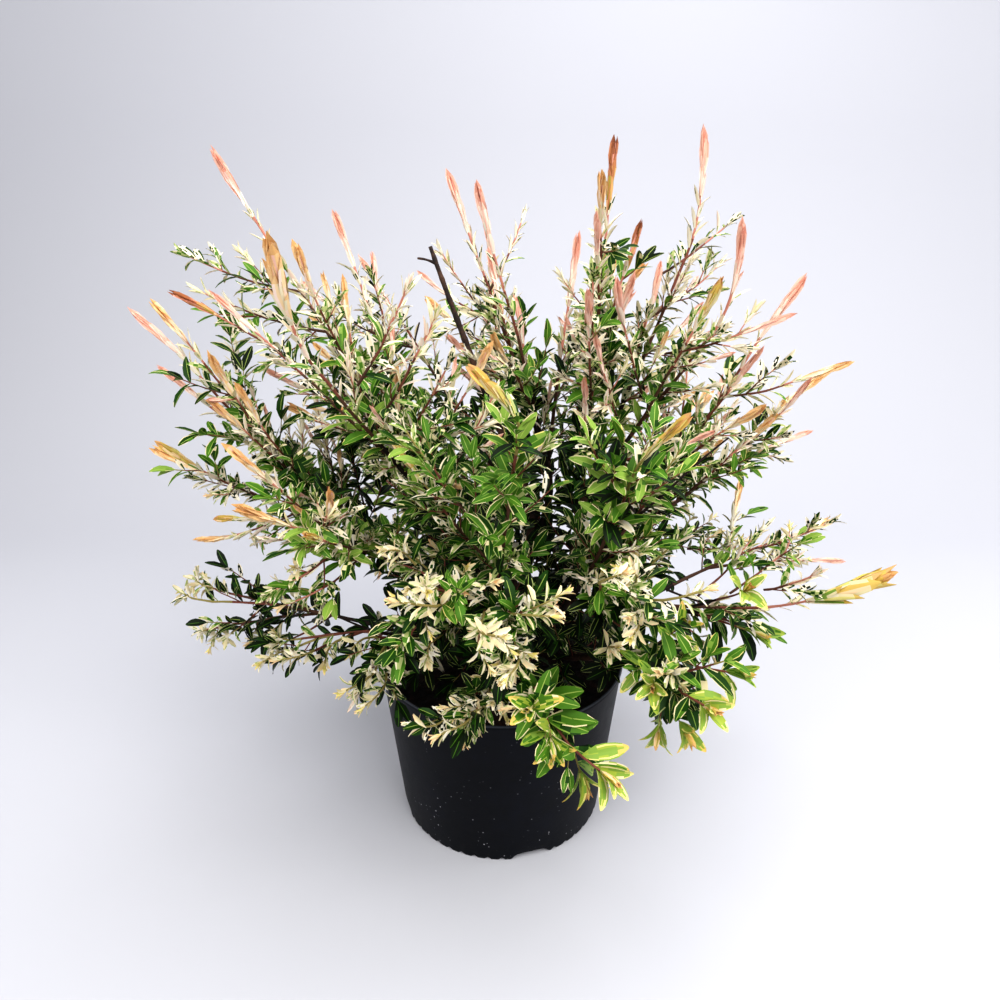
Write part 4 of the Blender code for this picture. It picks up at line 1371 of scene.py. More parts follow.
@dataclass
class Bark:
    """The bark of the stool and the boughs: round limbs with relief, swollen where they fork and at old buds.

    The relief, the ridge, the knots, the collar and the rounding of the ends are shares of a limb's radius.
    """

    sides: int = 20
    stool_sides: int = 44
    step: float = 0.0030
    fine_steps: int = 40
    relief: float = 0.11
    relief_scale: float = 95
    ridge: float = 0.07
    ridge_scale: float = 210
    ridge_stretch: float = 0.3
    knot_pitch: float = 0.021
    knot_length: float = 0.0022
    knot_height: float = 0.16
    collar: float = 0.42
    collar_length: float = 0.009
    rounding: float = 0.10
    rounded: float = 0.03
    cut_narrowing: float = 0.42
    stub_start: float = 0.945
    stub_reach: float = 0.426
    stub_bearing: float = 164
    stub_rise: float = 75.2
    stub_bow: float = 0.0012
    stub_radii: tuple[float, ...] = (0.0014, 0.0010, 0.0009, 0.0011, 0.0010)

    def sleeve(self, limb: Limb, sides: int) -> bmesh.types.BMesh:
        """One limb's surface.

        Args:
            limb: The limb.
            sides: The number of sides round it.

        Returns:
            A closed mesh.
        """
        fine = Line(curve_points(limb.path[0], self.pull_of(limb), limb.path[-1], self.fine_steps))
        count = max(12, round(fine.length / self.step))
        shape = bmesh.new()
        ring = bmesh.ops.create_circle(shape, radius=1.0, segments=sides)
        loop, edges, place = ring["verts"], list(shape.edges), Matrix.Identity(4)
        for index in range(count + 1):
            share = index / count
            point, turn = fine.at(share * fine.length)
            if index:
                grown = bmesh.ops.extrude_edge_only(shape, edges=edges)["geom"]
                loop = [piece for piece in grown if isinstance(piece, bmesh.types.BMVert)]
                edges = [piece for piece in grown if isinstance(piece, bmesh.types.BMEdge)]
                edges = [edge for edge in edges if all(corner in set(loop) for corner in edge.verts)]
            radius = limb.radius_at(share) * (1 + self.swelling(limb, share * fine.length, share))
            radius *= 1 - self.cut_narrowing * share if limb.name == "stem_cut" else 1.0
            size = Matrix.Diagonal((radius, radius, radius, 1))
            wanted = Matrix.Translation(point) @ turn.to_matrix().to_4x4() @ size
            bmesh.ops.transform(shape, matrix=wanted @ place.inverted(), verts=loop)
            place = wanted
        self.roughen(shape, fine)
        bmesh.ops.holes_fill(shape, edges=shape.edges)
        bmesh.ops.recalc_face_normals(shape, faces=shape.faces)
        return shape

    def stub(self, stem: Limb) -> Limb:
        """The short dry stub just below the cut end of a stem.

        Args:
            stem: The stem.

        Returns:
            The stub.
        """
        start = stem.at(self.stub_start)
        end = HEART + self.stub_reach * towards(self.stub_bearing, self.stub_rise)
        last = len(self.stub_radii) - 1
        bows = [self.stub_bow * math.sin(step * math.pi / last) * UP for step in range(last + 1)]
        path = [start.lerp(end, step / last) + bow for step, bow in enumerate(bows)]
        return Limb("stub", path, list(self.stub_radii))

    def pull_of(self, limb: Limb) -> Vector:
        """The point that the limb's curve is drawn towards."""
        middle = limb.path[len(limb.path) // 2]
        return 2 * middle - (limb.path[0] + limb.path[-1]) / 2

    def swelling(self, limb: Limb, distance: float, share: float) -> float:
        """How much thicker than its taper a limb is at a distance from its foot, as a share.

        Args:
            limb: The limb.
            distance: The distance.
            share: The same as a share of its length.

        Returns:
            The share.
        """
        offset = 0.004 * len(limb.name)
        knot = abs(math.remainder(distance + offset, self.knot_pitch)) / self.knot_length
        foot = 0.0 if limb.name == "stool" else self.collar * math.exp(-distance / self.collar_length)
        end = self.rounding * max(0.0, share - (1 - self.rounded)) / self.rounded
        return self.knot_height * math.exp(-knot * knot) + foot - end

    def roughen(self, shape: bmesh.types.BMesh, fine: Line) -> None:
        """Move the corners in and out by the bark's relief.

        Args:
            shape: The limb's surface.
            fine: Its middle line.
        """
        count = len(fine.points)
        for corner in shape.verts:
            near = min(range(count), key=lambda index: (fine.points[index] - corner.co).length_squared)
            out = corner.co - fine.points[near]
            coarse = noise.fractal(corner.co * self.relief_scale, 0.8, 2.1, 4)
            drawn = Vector((corner.co.x, corner.co.y, corner.co.z * self.ridge_stretch))
            ridge = 1 - abs(noise.noise(drawn * self.ridge_scale))
            corner.co += out * (self.relief * coarse + self.ridge * (ridge - 0.75))

    def build(self, limbs: dict[str, Limb]) -> bpy.types.Object:
        """Join the surfaces of all limbs.

        Args:
            limbs: The limbs.

        Returns:
            One object that stands for all of them.
        """
        joined = bmesh.new()
        for limb in [*limbs.values(), self.stub(limbs["stem_cut"])]:
            shape = self.sleeve(limb, self.stool_sides if limb.name == "stool" else self.sides)
            part = bpy.data.meshes.new(limb.name + "_bark")
            shape.to_mesh(part)
            shape.free()
            joined.from_mesh(part)
            bpy.data.meshes.remove(part)
        made = shaped("bark_limbs", joined, BarkFinish().make())
        made.data.shade_smooth()
        return place_piece(made, "bark", *limbs)


def turned(profile: list[tuple[float, float]], steps: int) -> bmesh.types.BMesh:
    """Turn a profile of radii and heights round the upright axis.

    Args:
        profile: The radius and the height of each corner, from axis to axis.
        steps: How many steps make the full turn.

    Returns:
        The closed shape.
    """
    shape = bmesh.new()
    corners = [shape.verts.new((radius, 0.0, height)) for radius, height in profile]
    edges = [shape.edges.new(pair) for pair in zip(corners, corners[1:])]
    axis = {"cent": (0, 0, 0), "axis": (0, 0, 1), "angle": math.tau}
    bmesh.ops.spin(shape, geom=corners + edges, steps=steps, use_merge=True, **axis)
    bmesh.ops.remove_doubles(shape, verts=shape.verts, dist=0.00001)
    return shape


def shaped(name: str, shape: bmesh.types.BMesh, material: bpy.types.Material) -> bpy.types.Object:
    """Make a shape an object of one material, and free the shape.

    Args:
        name: The object's name.
        shape: The shape.
        material: The material.

    Returns:
        The object.
    """
    mesh = bpy.data.meshes.new(name)
    shape.to_mesh(mesh)
    shape.free()
    mesh.materials.append(material)
    made = bpy.data.objects.new(name, mesh)
    bpy.context.scene.collection.objects.link(made)
    return made


def place_piece(piece: bpy.types.Object, slot: str, *nodes: str) -> bpy.types.Object:
    """Let a finished piece ride on the plant and stand for its solids, and report it.

    Args:
        piece: The finished object.
        slot: The record's material slot; not used.
        nodes: The solids that it stands for.

    Returns:
        The piece.
    """
    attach(piece, "root")
    if nodes:
        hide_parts(*nodes)
    log.info("%s: %d faces, for %d solids", piece.name, len(piece.data.polygons), len(nodes))
    return piece


@dataclass(frozen=True)
class Gap:
    """A gap in the crown as it shows from the front: a band between two places in the camera's frame.

    The places and the band's half width are in the frame's pixels, and the depth is how far from the camera it
    ends.
    """

    start: tuple[float, float]
    end: tuple[float, float]
    half_width: float
    depth: float = 9.0

    def holds(self, point: Vector) -> bool:
        """Whether a point lies in the gap.

        Args:
            point: The point.

        Returns:
            True where it does.
        """
        seen, away = Studio.seen(point)
        if away > self.depth:
            return False
        start, run = Vector(self.start), Vector(self.end) - Vector(self.start)
        share = min(1.0, max(0.0, (seen - start).dot(run) / run.dot(run)))
        return (seen - start - share * run).length < self.half_width


GAPS = {
    "before_cut_stem": Gap((432, 258), (470, 395), 8, 0.775),
    "left_upper": Gap((318, 568), (368, 586), 13),
    "left_lower": Gap((296, 640), (330, 636), 9),
    "left_upright": Gap((350, 598), (352, 636), 14),
    "far_left_upper": Gap((186, 603), (240, 604), 11),
    "far_left_lower": Gap((214, 652), (262, 648), 7),
    "right_outer": Gap((690, 574), (775, 592), 17),
    "right_inner": Gap((664, 594), (690, 590), 13),
    "middle_left": Gap((450, 508), (463, 524), 8),
    "middle_right": Gap((520, 522), (534, 529), 7),
    "below_left": Gap((140, 715), (320, 775), 40),
    "below_far_right": Gap((800, 700), (920, 690), 48),
    "below_right": Gap((720, 800), (860, 770), 46),
    "beside_hanging_shoot": Gap((668, 752), (674, 820), 13),
    "pot_front_low": Gap((470, 812), (596, 822), 36),
    "pot_front_high": Gap((400, 786), (584, 796), 20),
}


class Space:
    """The room of one mass: the walls between it and its neighbours, its reach, the pot and the limbs."""

    def __init__(self, name: str, limbs: dict[str, Limb], rule: Growth) -> None:
        """Set up the walls round a mass."""
        self.plan, self.limbs, self.rule = MASSES[name], limbs, rule
        carried: dict[str, list[str]] = {}
        for other, plan in MASSES.items():
            carried.setdefault(plan.bough, []).append(other)
        heading = {
            bough: sum(((MASSES[other].tip() - HEART).normalized() for other in others), Vector())
            for bough, others in carried.items()
        }
        own, tip = self.plan.bough, self.plan.tip()
        fork = limbs[own].path[-1] - rule.fork_depth * limbs[own].heading()
        self.walls = [self.wall(HEART, heading[own], heading[other]) for other in carried if other != own]
        for other in carried[own]:
            if other != name:
                self.walls.append(self.wall(fork, tip - fork, MASSES[other].tip() - fork))

    @staticmethod
    def wall(corner: Vector, own: Vector, other: Vector) -> tuple[Vector, Vector]:
        """The plane through corner that parts the directions nearer to own from those nearer to other."""
        return corner, (own.normalized() - other.normalized()).normalized()

    def depth(self, point: Vector) -> float:
        """How deep a point lies between the walls, and negative beyond them."""
        return min((point - corner).dot(inward) for corner, inward in self.walls)

    def in_pot(self, point: Vector, clear: float) -> bool:
        """Whether a point lies in or on the pot, or between it and the soil."""
        below = point.z < self.rule.pot_height + clear
        return below and math.hypot(point.x, point.y) < self.rule.pot_radius + clear

    def fits(self, segment: tuple[Vector, Vector], around: float, limbs: list[Limb]) -> bool:
        """Whether a twig of the solids keeps to the room, off the pot and off the limbs.

        Args:
            segment: The twig's ends.
            around: Its radius.
            limbs: The limbs that it may not touch.

        Returns:
            True where it does.
        """
        rule = self.rule
        for share in rule.checked:
            point = segment[0].lerp(segment[1], share)
            if self.depth(point) < around + rule.wall_clear or self.in_pot(point, 2 * rule.limb_clear):
                return False
        return all(limb.clears(segment, around + rule.limb_clear) for limb in limbs)

    def share_at(self, aside: float) -> float:
        """The share of the mass's reach that foliage has at an angle from its leader."""
        fall = self.rule.steep_fall if self.plan.rise > STEEP else self.rule.flat_fall
        return max(self.rule.least_reach, self.rule.most_reach - fall * aside)

    def limit(self, point: Vector) -> float:
        """How far from the heart foliage reaches in the direction of a point."""
        aside = math.degrees((point - HEART).angle(self.plan.tip() - HEART, 0.0))
        return self.plan.reach * self.share_at(aside)

    def outness(self, point: Vector) -> float:
        """How far out a point lies, from 0 at the heart to 1 where the foliage ends."""
        return (point - HEART).length / self.limit(point)

    def open(self, point: Vector) -> bool:
        """Whether a fine twig or leaf may reach a point.

        Args:
            point: The point.

        Returns:
            True where it may.
        """
        rule = self.rule
        near = math.hypot(point.x, point.y) < rule.pot_radius + rule.beside_pot
        if (near and point.z < rule.lowest_at_pot) or (point - HEART).length > self.limit(point):
            return False
        if self.in_pot(point, rule.leaf_clear) or self.depth(point) < -rule.soft:
            return False
        return not any(gap.holds(point) for gap in GAPS.values())


@dataclass(frozen=True)
class Habit:
    """What goes with a shoot's rank.

    The wood has so many sides, and is rosy and then red up to two ages. A rosette has a size and a number of
    pairs, and a spear the length of its leaves, the stretch that they fill and their number. The side leaves
    age at a pace, leave the foot bare, and have a chance and a size.
    """

    sides: int
    rosy_until: float
    red_until: float
    rosette_size: float
    rosette_pairs: int
    spear_leaf: float
    spear_depth: float
    spear_leaves: int
    pace: float
    bare_foot: float
    leaf_chance: float
    leaf_size: float


class Rank(Enum):
    """The rank of a shoot: the leader of a mass, a side shoot or a fine twig."""

    LEADER = Habit(8, 0.085, 0.13, 1.0, 4, 0.033, 0.042, 15, 1.0, 0.05, 0.84, 1.0)
    SIDE = Habit(6, 0.045, 0.08, 1.0, 4, 0.028, 0.032, 11, 0.62, 0.008, 0.92, 0.94)
    FINE = Habit(4, 0.020, 0.06, 0.88, 3, 0.020, 0.014, 6, 0.42, 0.003, 0.94, 0.84)


@dataclass
class Shoot:
    """One leafy shoot: its line, how it ends, its rank, its radii at foot and tip, and its spear's size."""

    line: Line
    style: Style
    rank: Rank
    foot_radius: float
    tip_radius: float
    swell: float = 1.0

    @property
    def habit(self) -> Habit:
        """What goes with its rank."""
        return self.rank.value


# Painted shade: how much darker the green leaves of a place are drawn, as a share of all their tints, and of the
# places that aren't named
PAINTED_SHADE_BY_PLACE = {
    Place.RIM: 0.62,
    Place.INSIDE: 0.70,
    Place.FRONT: 0.03,
    Place.MIDDLE: 0.0,
    Place.LEAFY: 0.27,
    Place.LOW: 0.9,
}
USUAL_PAINTED_SHADE = 0.38

# The side leaves of shoots by how they end
SCHEMES = {
    Style.DARK: Scheme.INNER,
    Style.LIME: Scheme.LIME,
    Style.CREAM: Scheme.LOW,
    Style.MOTTLED: Scheme.MOTTLED,
}


class Spray:
    """Some shoots with the rule that gives them leaves and wood."""

    GREEN_UNTIL = 0.015
    RED_UNTIL = 0.06
    BROWN_UNTIL = 0.20

    def __init__(self, seed: int, rule: Growth, place: Place) -> None:
        """Start without shoots, with draws of its own."""
        self.rule, self.place = rule, place
        self.fine = random.Random(seed)
        self.shoots: list[Shoot] = []

    def opens(self, point: Vector) -> bool:
        """Whether a twig or leaf may reach a point."""
        raise NotImplementedError

    def outness(self, point: Vector) -> float:
        """How far out a point lies, from 0 at the heart to 1 where the foliage ends."""
        raise NotImplementedError

    def grow(self) -> None:
        """Grow the shoots."""
        raise NotImplementedError

    def waver(self, points: list[Vector], amount: float) -> list[Vector]:
        """Bend a path a little from side to side, leaving its two ends.

        Args:
            points: The path.
            amount: How far it moves at most, nearly.

        Returns:
            The bent path.
        """
        shift = Vector([self.fine.uniform(0, 50) for _ in range(3)])
        moved = []
        for index, point in enumerate(points):
            ease = math.sin(math.pi * index / (len(points) - 1))
            moved.append(point + amount * ease * noise.noise_vector(point * 22 + shift))
        return moved

    def wood(self, twigs: Twigs) -> None:
        """Put the wood of all shoots with the joined twigs.

        Args:
            twigs: The joined twigs.
        """
        for shoot in self.shoots:
            line, radii = shoot.line, []
            for index, mark in enumerate(line.marks):
                knot = self.rule.knot if shoot.rank is not Rank.FINE and index % 2 else 0.0
                taper = (mark / line.length) * (shoot.tip_radius - shoot.foot_radius)
                radii.append((shoot.foot_radius + taper) * (1 + knot))
            tints = [self.wood_tint(shoot, line.length - mark) for mark in line.marks[:-1]]
            twigs.add(line, radii, tints, shoot.habit.sides)

    def wood_tint(self, shoot: Shoot, age: float) -> Tint:
        """The colour of a shoot's wood at a distance from its tip.

        Args:
            shoot: The shoot.
            age: The distance.

        Returns:
            The colour.
        """
        if shoot.style is Style.BARE:
            return T.TWIG_DARK
        if shoot.style in (Style.DARK, Style.LIME):
            older = T.TWIG_RED if age < self.RED_UNTIL else T.TWIG_DARK
            return T.TWIG_GREEN if age < self.GREEN_UNTIL else older
        if age < shoot.habit.rosy_until:
            return T.TWIG_ROSE if self.place in (Place.TOP, Place.MIDDLE) else T.TWIG_GREEN
        if age < shoot.habit.red_until:
            return T.TWIG_RED
        return T.TWIG_BROWN if age < self.BROWN_UNTIL else T.TWIG_DARK

    def leaves(self, leaves: Pile, ends: Pile) -> None:
        """Put the leaves of all shoots with the joined ones.

        Args:
            leaves: Where the open leaves go.
            ends: Where the furled and rosette leaves of the shoots' ends go.
        """
        for shoot in self.shoots:
            if shoot.style is not Style.BARE:
                self.side_leaves(shoot, leaves, self.end_leaves(shoot, ends))

    def put(
        self, pile: Pile, leaf: Leaf, root: Vector, direction: Vector, face: Vector, length: float, tints: int
    ) -> None:
        """Put one leaf down.

        Args:
            pile: The joined leaves that it goes with.
            leaf: Its kind.
            root: Where it leaves the twig.
            direction: Where it points.
            face: Roughly where its upper side faces.
            length: Its length.
            tints: Which of the kind's sets of tints it takes.
        """
        along = direction.normalized()
        side = face.cross(along)
        side = along.orthogonal() if side.length < 1e-4 else side
        side.normalize()
        turn = Matrix((along, side, along.cross(side))).transposed().to_4x4()
        place = Matrix.Translation(root) @ turn @ Matrix.Scale(length, 4)
        pile.add(leaf, self.fine.randrange(Pile.VARIANTS), place, tints)

    @staticmethod
    def leaning(turn: Quaternion, azimuth: float, lean: float) -> Vector:
        """The direction that leans from a twig by an angle, at an azimuth round it, both in degrees."""
        around, across = math.radians(azimuth), math.sin(math.radians(lean))
        along = math.cos(math.radians(lean))
        return turn @ Vector((across * math.cos(around), across * math.sin(around), along))

    def end_leaves(self, shoot: Shoot, ends: Pile) -> float:
        """Put the leaves at a shoot's end.

        Args:
            shoot: The shoot.
            ends: Where they go.

        Returns:
            How far from the tip the side leaves begin.
        """
        if shoot.style is Style.DARK:
            return self.green_end(shoot, ends)
        return self.rosette(shoot, ends) if shoot.style.opens else self.spear(shoot, ends)

    def green_end(self, shoot: Shoot, ends: Pile) -> float:
        """End a shoot in two small green leaves.

        Args:
            shoot: The shoot.
            ends: Where they go.

        Returns:
            How far from the tip the side leaves begin.
        """
        point, turn = shoot.line.at(shoot.line.length)
        chance = self.fine
        azimuth, tints = chance.uniform(0, 360), self.green_tints(point)
        for side in (0, 180):
            direction = self.leaning(turn, azimuth + side, chance.uniform(8, 26))
            face, length = self.facing(direction), chance.uniform(0.020, 0.028)
            self.put(ends, Leaf.GREEN, point, direction, face, length, tints)
        return 0.008

    def rosette(self, shoot: Shoot, ends: Pile) -> float:
        """End a shoot in pairs of curved blunt leaves round a furled heart.

        Args:
            shoot: The shoot.
            ends: Where they go.

        Returns:
            How far from the tip the side leaves begin.
        """
        point, turn = shoot.line.at(shoot.line.length)
        chance, rule, heading = self.fine, self.rule, turn @ UP
        lime = shoot.style is Style.LIME
        kind = Leaf.LIME if lime else Leaf.ROSETTE
        size = (rule.lime_leaf if lime else rule.rosette_leaf) * shoot.habit.rosette_size
        azimuth, tints = chance.uniform(0, 360), chance.randrange(8)
        for index in range(3):
            direction = self.leaning(turn, azimuth + 120 * index, 6 + 5 * index)
            length = size * (0.60 if lime else 0.75)
            self.put(ends, shoot.style.leaf, point, direction, heading, length, tints)
        pairs = 2 if lime else shoot.habit.rosette_pairs
        for index in range(2 * pairs):
            pair, side = divmod(index, 2)
            lean = 12 + 11 * pair + chance.uniform(-6, 6)
            around = azimuth + 90 * pair + 180 * side + chance.uniform(-20, 20)
            direction = self.leaning(turn, around, lean)
            root = point - (rule.rosette_start + rule.rosette_pitch * pair) * heading
            length = size * chance.uniform(0.85, 1.15) * (0.74 + 0.10 * pair)
            self.put(ends, kind, root, direction, heading + 0.25 * UP, length, tints + pair // 2)
        return rule.rosette_start + rule.rosette_pitch * pairs

    def turned_aside(self, path: list[Vector], reach: float) -> list[Vector]:
        """Bend the end of a shoot to either side, as they do towards the light.

        Args:
            path: The shoot's path.
            reach: How far it bends.

        Returns:
            The bent path, with the same tip.
        """
        heading = (path[-1] - path[-2]).normalized()
        side = heading.cross(UP)
        side = side.normalized() if side.length > 1e-3 else Vector((1.0, 0.0, 0.0))
        aside = 0.95 * self.fine.choice((-1, 1))
        shift = reach * (aside * side + self.fine.uniform(-0.5, 0.25) * UP)
        return self.bent(path, shift, 1.4 * reach)

    @staticmethod
    def bent(path: list[Vector], shift: Vector, length: float) -> list[Vector]:
        """Move a path against a shift more and more, and back with it over its last length.

        Args:
            path: The path.
            shift: The shift at its tip.
            length: The last length.

        Returns:
            The moved path, with the same ends.
        """
        line, moved = Line(path), []
        for point, mark in zip(path, line.marks):
            bend = max(0.0, 1 - (line.length - mark) / length) ** 1.6
            moved.append(point + shift * (bend - mark / line.length))
        return moved

    def spear(self, shoot: Shoot, ends: Pile) -> float:
        """End a shoot in a spear of furled leaves, the lower ones paler and shorter.

        Args:
            shoot: The shoot.
            ends: Where they go.

        Returns:
            How far from the tip the side leaves begin.
        """
        kind, chance, line, rule, habit = shoot.style.leaf, self.fine, shoot.line, self.rule, shoot.habit
        furled = kind not in (Leaf.PALE, Leaf.DAPPLED)
        sets, tints = len(kind.tints), chance.randrange(8)
        long, depth, count = rule.bud_leaf, rule.bud_depth, rule.bud_leaves
        if furled:
            long, depth, count = habit.spear_leaf, habit.spear_depth, habit.spear_leaves
        long, depth = long * shoot.swell * chance.uniform(0.9, 1.12), min(depth, 0.6 * line.length)
        azimuth = chance.uniform(0, 360)
        for index in range(count):
            share = index / count
            point, turn = line.at(line.length - 0.001 - depth * share)
            lean = (2 + 9 * share) * shoot.swell**2 + chance.uniform(-1.5, 2.5)
            direction = self.leaning(turn, azimuth + index * rule.golden, lean)
            out = (direction - turn @ UP).normalized()
            if furled:
                tints = min(sets - 1, max(0, round(share * sets + chance.uniform(-0.9, 0.4))))
            swelling = 0.80 + 0.30 * math.sin(math.pi * min(1.0, 0.15 + share))
            size = long * swelling * chance.uniform(0.9, 1.1)
            self.put(ends, kind, point + 0.0006 * shoot.swell**3 * out, direction, -out, size, tints)
        return depth + 0.002

    def facing(self, heading: Vector) -> Vector:
        """The direction that leaves on a twig turn their upper sides to."""
        jitter = Vector([self.fine.uniform(-0.5, 0.5) for _ in range(3)])
        return 0.45 * heading + 0.75 * UP + 0.30 * Vector((0, -1, 0)) + 0.6 * jitter

    def green_tints(self, point: Vector) -> int:
        """The set of tints of green leaves at a point: darker deeper inside the crown and lower down, as painted
        shade, and lighter outside.
        """
        last = len(Leaf.GREEN.tints) - 1
        # Painted shade: darker sets by place, and darker still for leaves lower than 0.34 m
        painted_shade = PAINTED_SHADE_BY_PLACE.get(self.place, USUAL_PAINTED_SHADE) + min(0.4, max(0.0, 2.6 * (0.34 - point.z)))
        return min(last, max(0, round(last * (self.outness(point) - painted_shade) + self.fine.uniform(-3.2, 3.2))))

    def scheme_of(self, style: Style) -> Scheme:
        """The scheme of the side leaves on a shoot that ends in a style.

        Args:
            style: The style.

        Returns:
            The scheme.
        """
        scheme = SCHEMES.get(style, Scheme.GREEN if self.place is Place.FRONT else Scheme.HIGH)
        if scheme in (Scheme.INNER, Scheme.HIGH, Scheme.MOTTLED):
            return {Place.LOW: Scheme.SMALL, Place.LEAFY: Scheme.LARGE}.get(self.place, scheme)
        return scheme

    def side_leaves(self, shoot: Shoot, leaves: Pile, start: float) -> None:
        """Put pairs of leaves along a shoot, from near its tip down to its bare foot.

        Args:
            shoot: The shoot.
            leaves: Where they go.
            start: How far from the tip they begin.
        """
        line, chance, rule, habit = shoot.line, self.fine, self.rule, shoot.habit
        scheme = self.scheme_of(shoot.style)
        azimuth, age = chance.uniform(0, 360), start
        tints, green = chance.randrange(12), self.green_tints(line.points[-1])
        while age < line.length - habit.bare_foot:
            stretch = next(entry for entry in scheme.value if age / habit.pace < entry.until)
            for side in (0, 180):
                if chance.random() > habit.leaf_chance:
                    continue
                draw, kinds = chance.random(), stretch.kinds
                kind = kinds[0][0] if draw < kinds[0][1] else kinds[-1][0]
                point, turn = line.at(line.length - age + chance.uniform(-0.0015, 0.0015))
                azimuth_here = azimuth + side + chance.uniform(-22, 22)
                direction = self.leaning(turn, azimuth_here, stretch.lean + chance.uniform(-9, 9)) + 0.06 * UP
                length = stretch.length * chance.uniform(0.76, 1.16) * habit.leaf_size
                if self.opens(point + 0.9 * length * direction):
                    face = turn @ UP if kind in (Leaf.PALE, Leaf.ROSETTE) else self.facing(turn @ UP)
                    chosen = (green if kind is Leaf.GREEN else tints) + chance.randrange(2)
                    self.put(leaves, kind, point, direction, face, length, chosen)
            azimuth += 90 + chance.uniform(-18, 18)
            wider = 1.0 if age < rule.wider_from else rule.wider
            age += rule.node_pitch * stretch.spacing * chance.uniform(0.85, 1.25) * wider


class InnerTwigs(Spray):
    """Short leafy twigs that stand on one bough itself, inside the crown."""

    STRETCH = (0.34, 0.99)
    CUT_STRETCH = (0.30, 0.62)
    PITCH = 0.0115
    FURTHEST = 0.30
    OUTSIDE = 0.42
    OFF_WALL = 0.012
    OFF_RIM = 0.006

    def __init__(self, seed: int, limb: Limb, rule: Growth) -> None:
        """Take the bough that they stand on."""
        super().__init__(seed, rule, Place.INSIDE)
        self.limb = limb

    def opens(self, point: Vector) -> bool:
        """Whether a twig or leaf may reach a point: inside the crown, above the soil and off the rim."""
        in_pot = math.hypot(point.x, point.y) < self.rule.pot_radius - self.OFF_WALL
        low = self.rule.pot_height + (-self.OFF_WALL if in_pot else self.OFF_RIM)
        return point.z > low and (point - HEART).length < self.FURTHEST

    def outness(self, point: Vector) -> float:
        """How far out a point lies, from 0 at the heart to 1 where the foliage ends."""
        return (point - HEART).length / self.OUTSIDE

    def grow(self) -> None:
        """Grow the twigs."""
        line, chance = Line(self.limb.path), self.fine
        first, last = self.CUT_STRETCH if self.limb.name == "stem_cut" else self.STRETCH
        place, azimuth = first * line.length, chance.uniform(0, 360)
        while place < last * line.length:
            root, turn = line.at(place)
            length = chance.uniform(0.030, 0.070)
            direction = (self.leaning(turn, azimuth, chance.uniform(45, 75)) + 0.15 * UP).normalized()
            end = root + length * (direction + 0.25 * UP).normalized()
            if self.opens(end):
                points = self.waver(curve_points(root, root + 0.5 * length * direction, end, 5), 0.003)
                self.shoots.append(Shoot(Line(points), Style.DARK, Rank.FINE, *self.rule.inner_radii))
            azimuth += self.rule.golden + chance.uniform(-25, 25)
            place += self.PITCH * chance.uniform(0.7, 1.3)


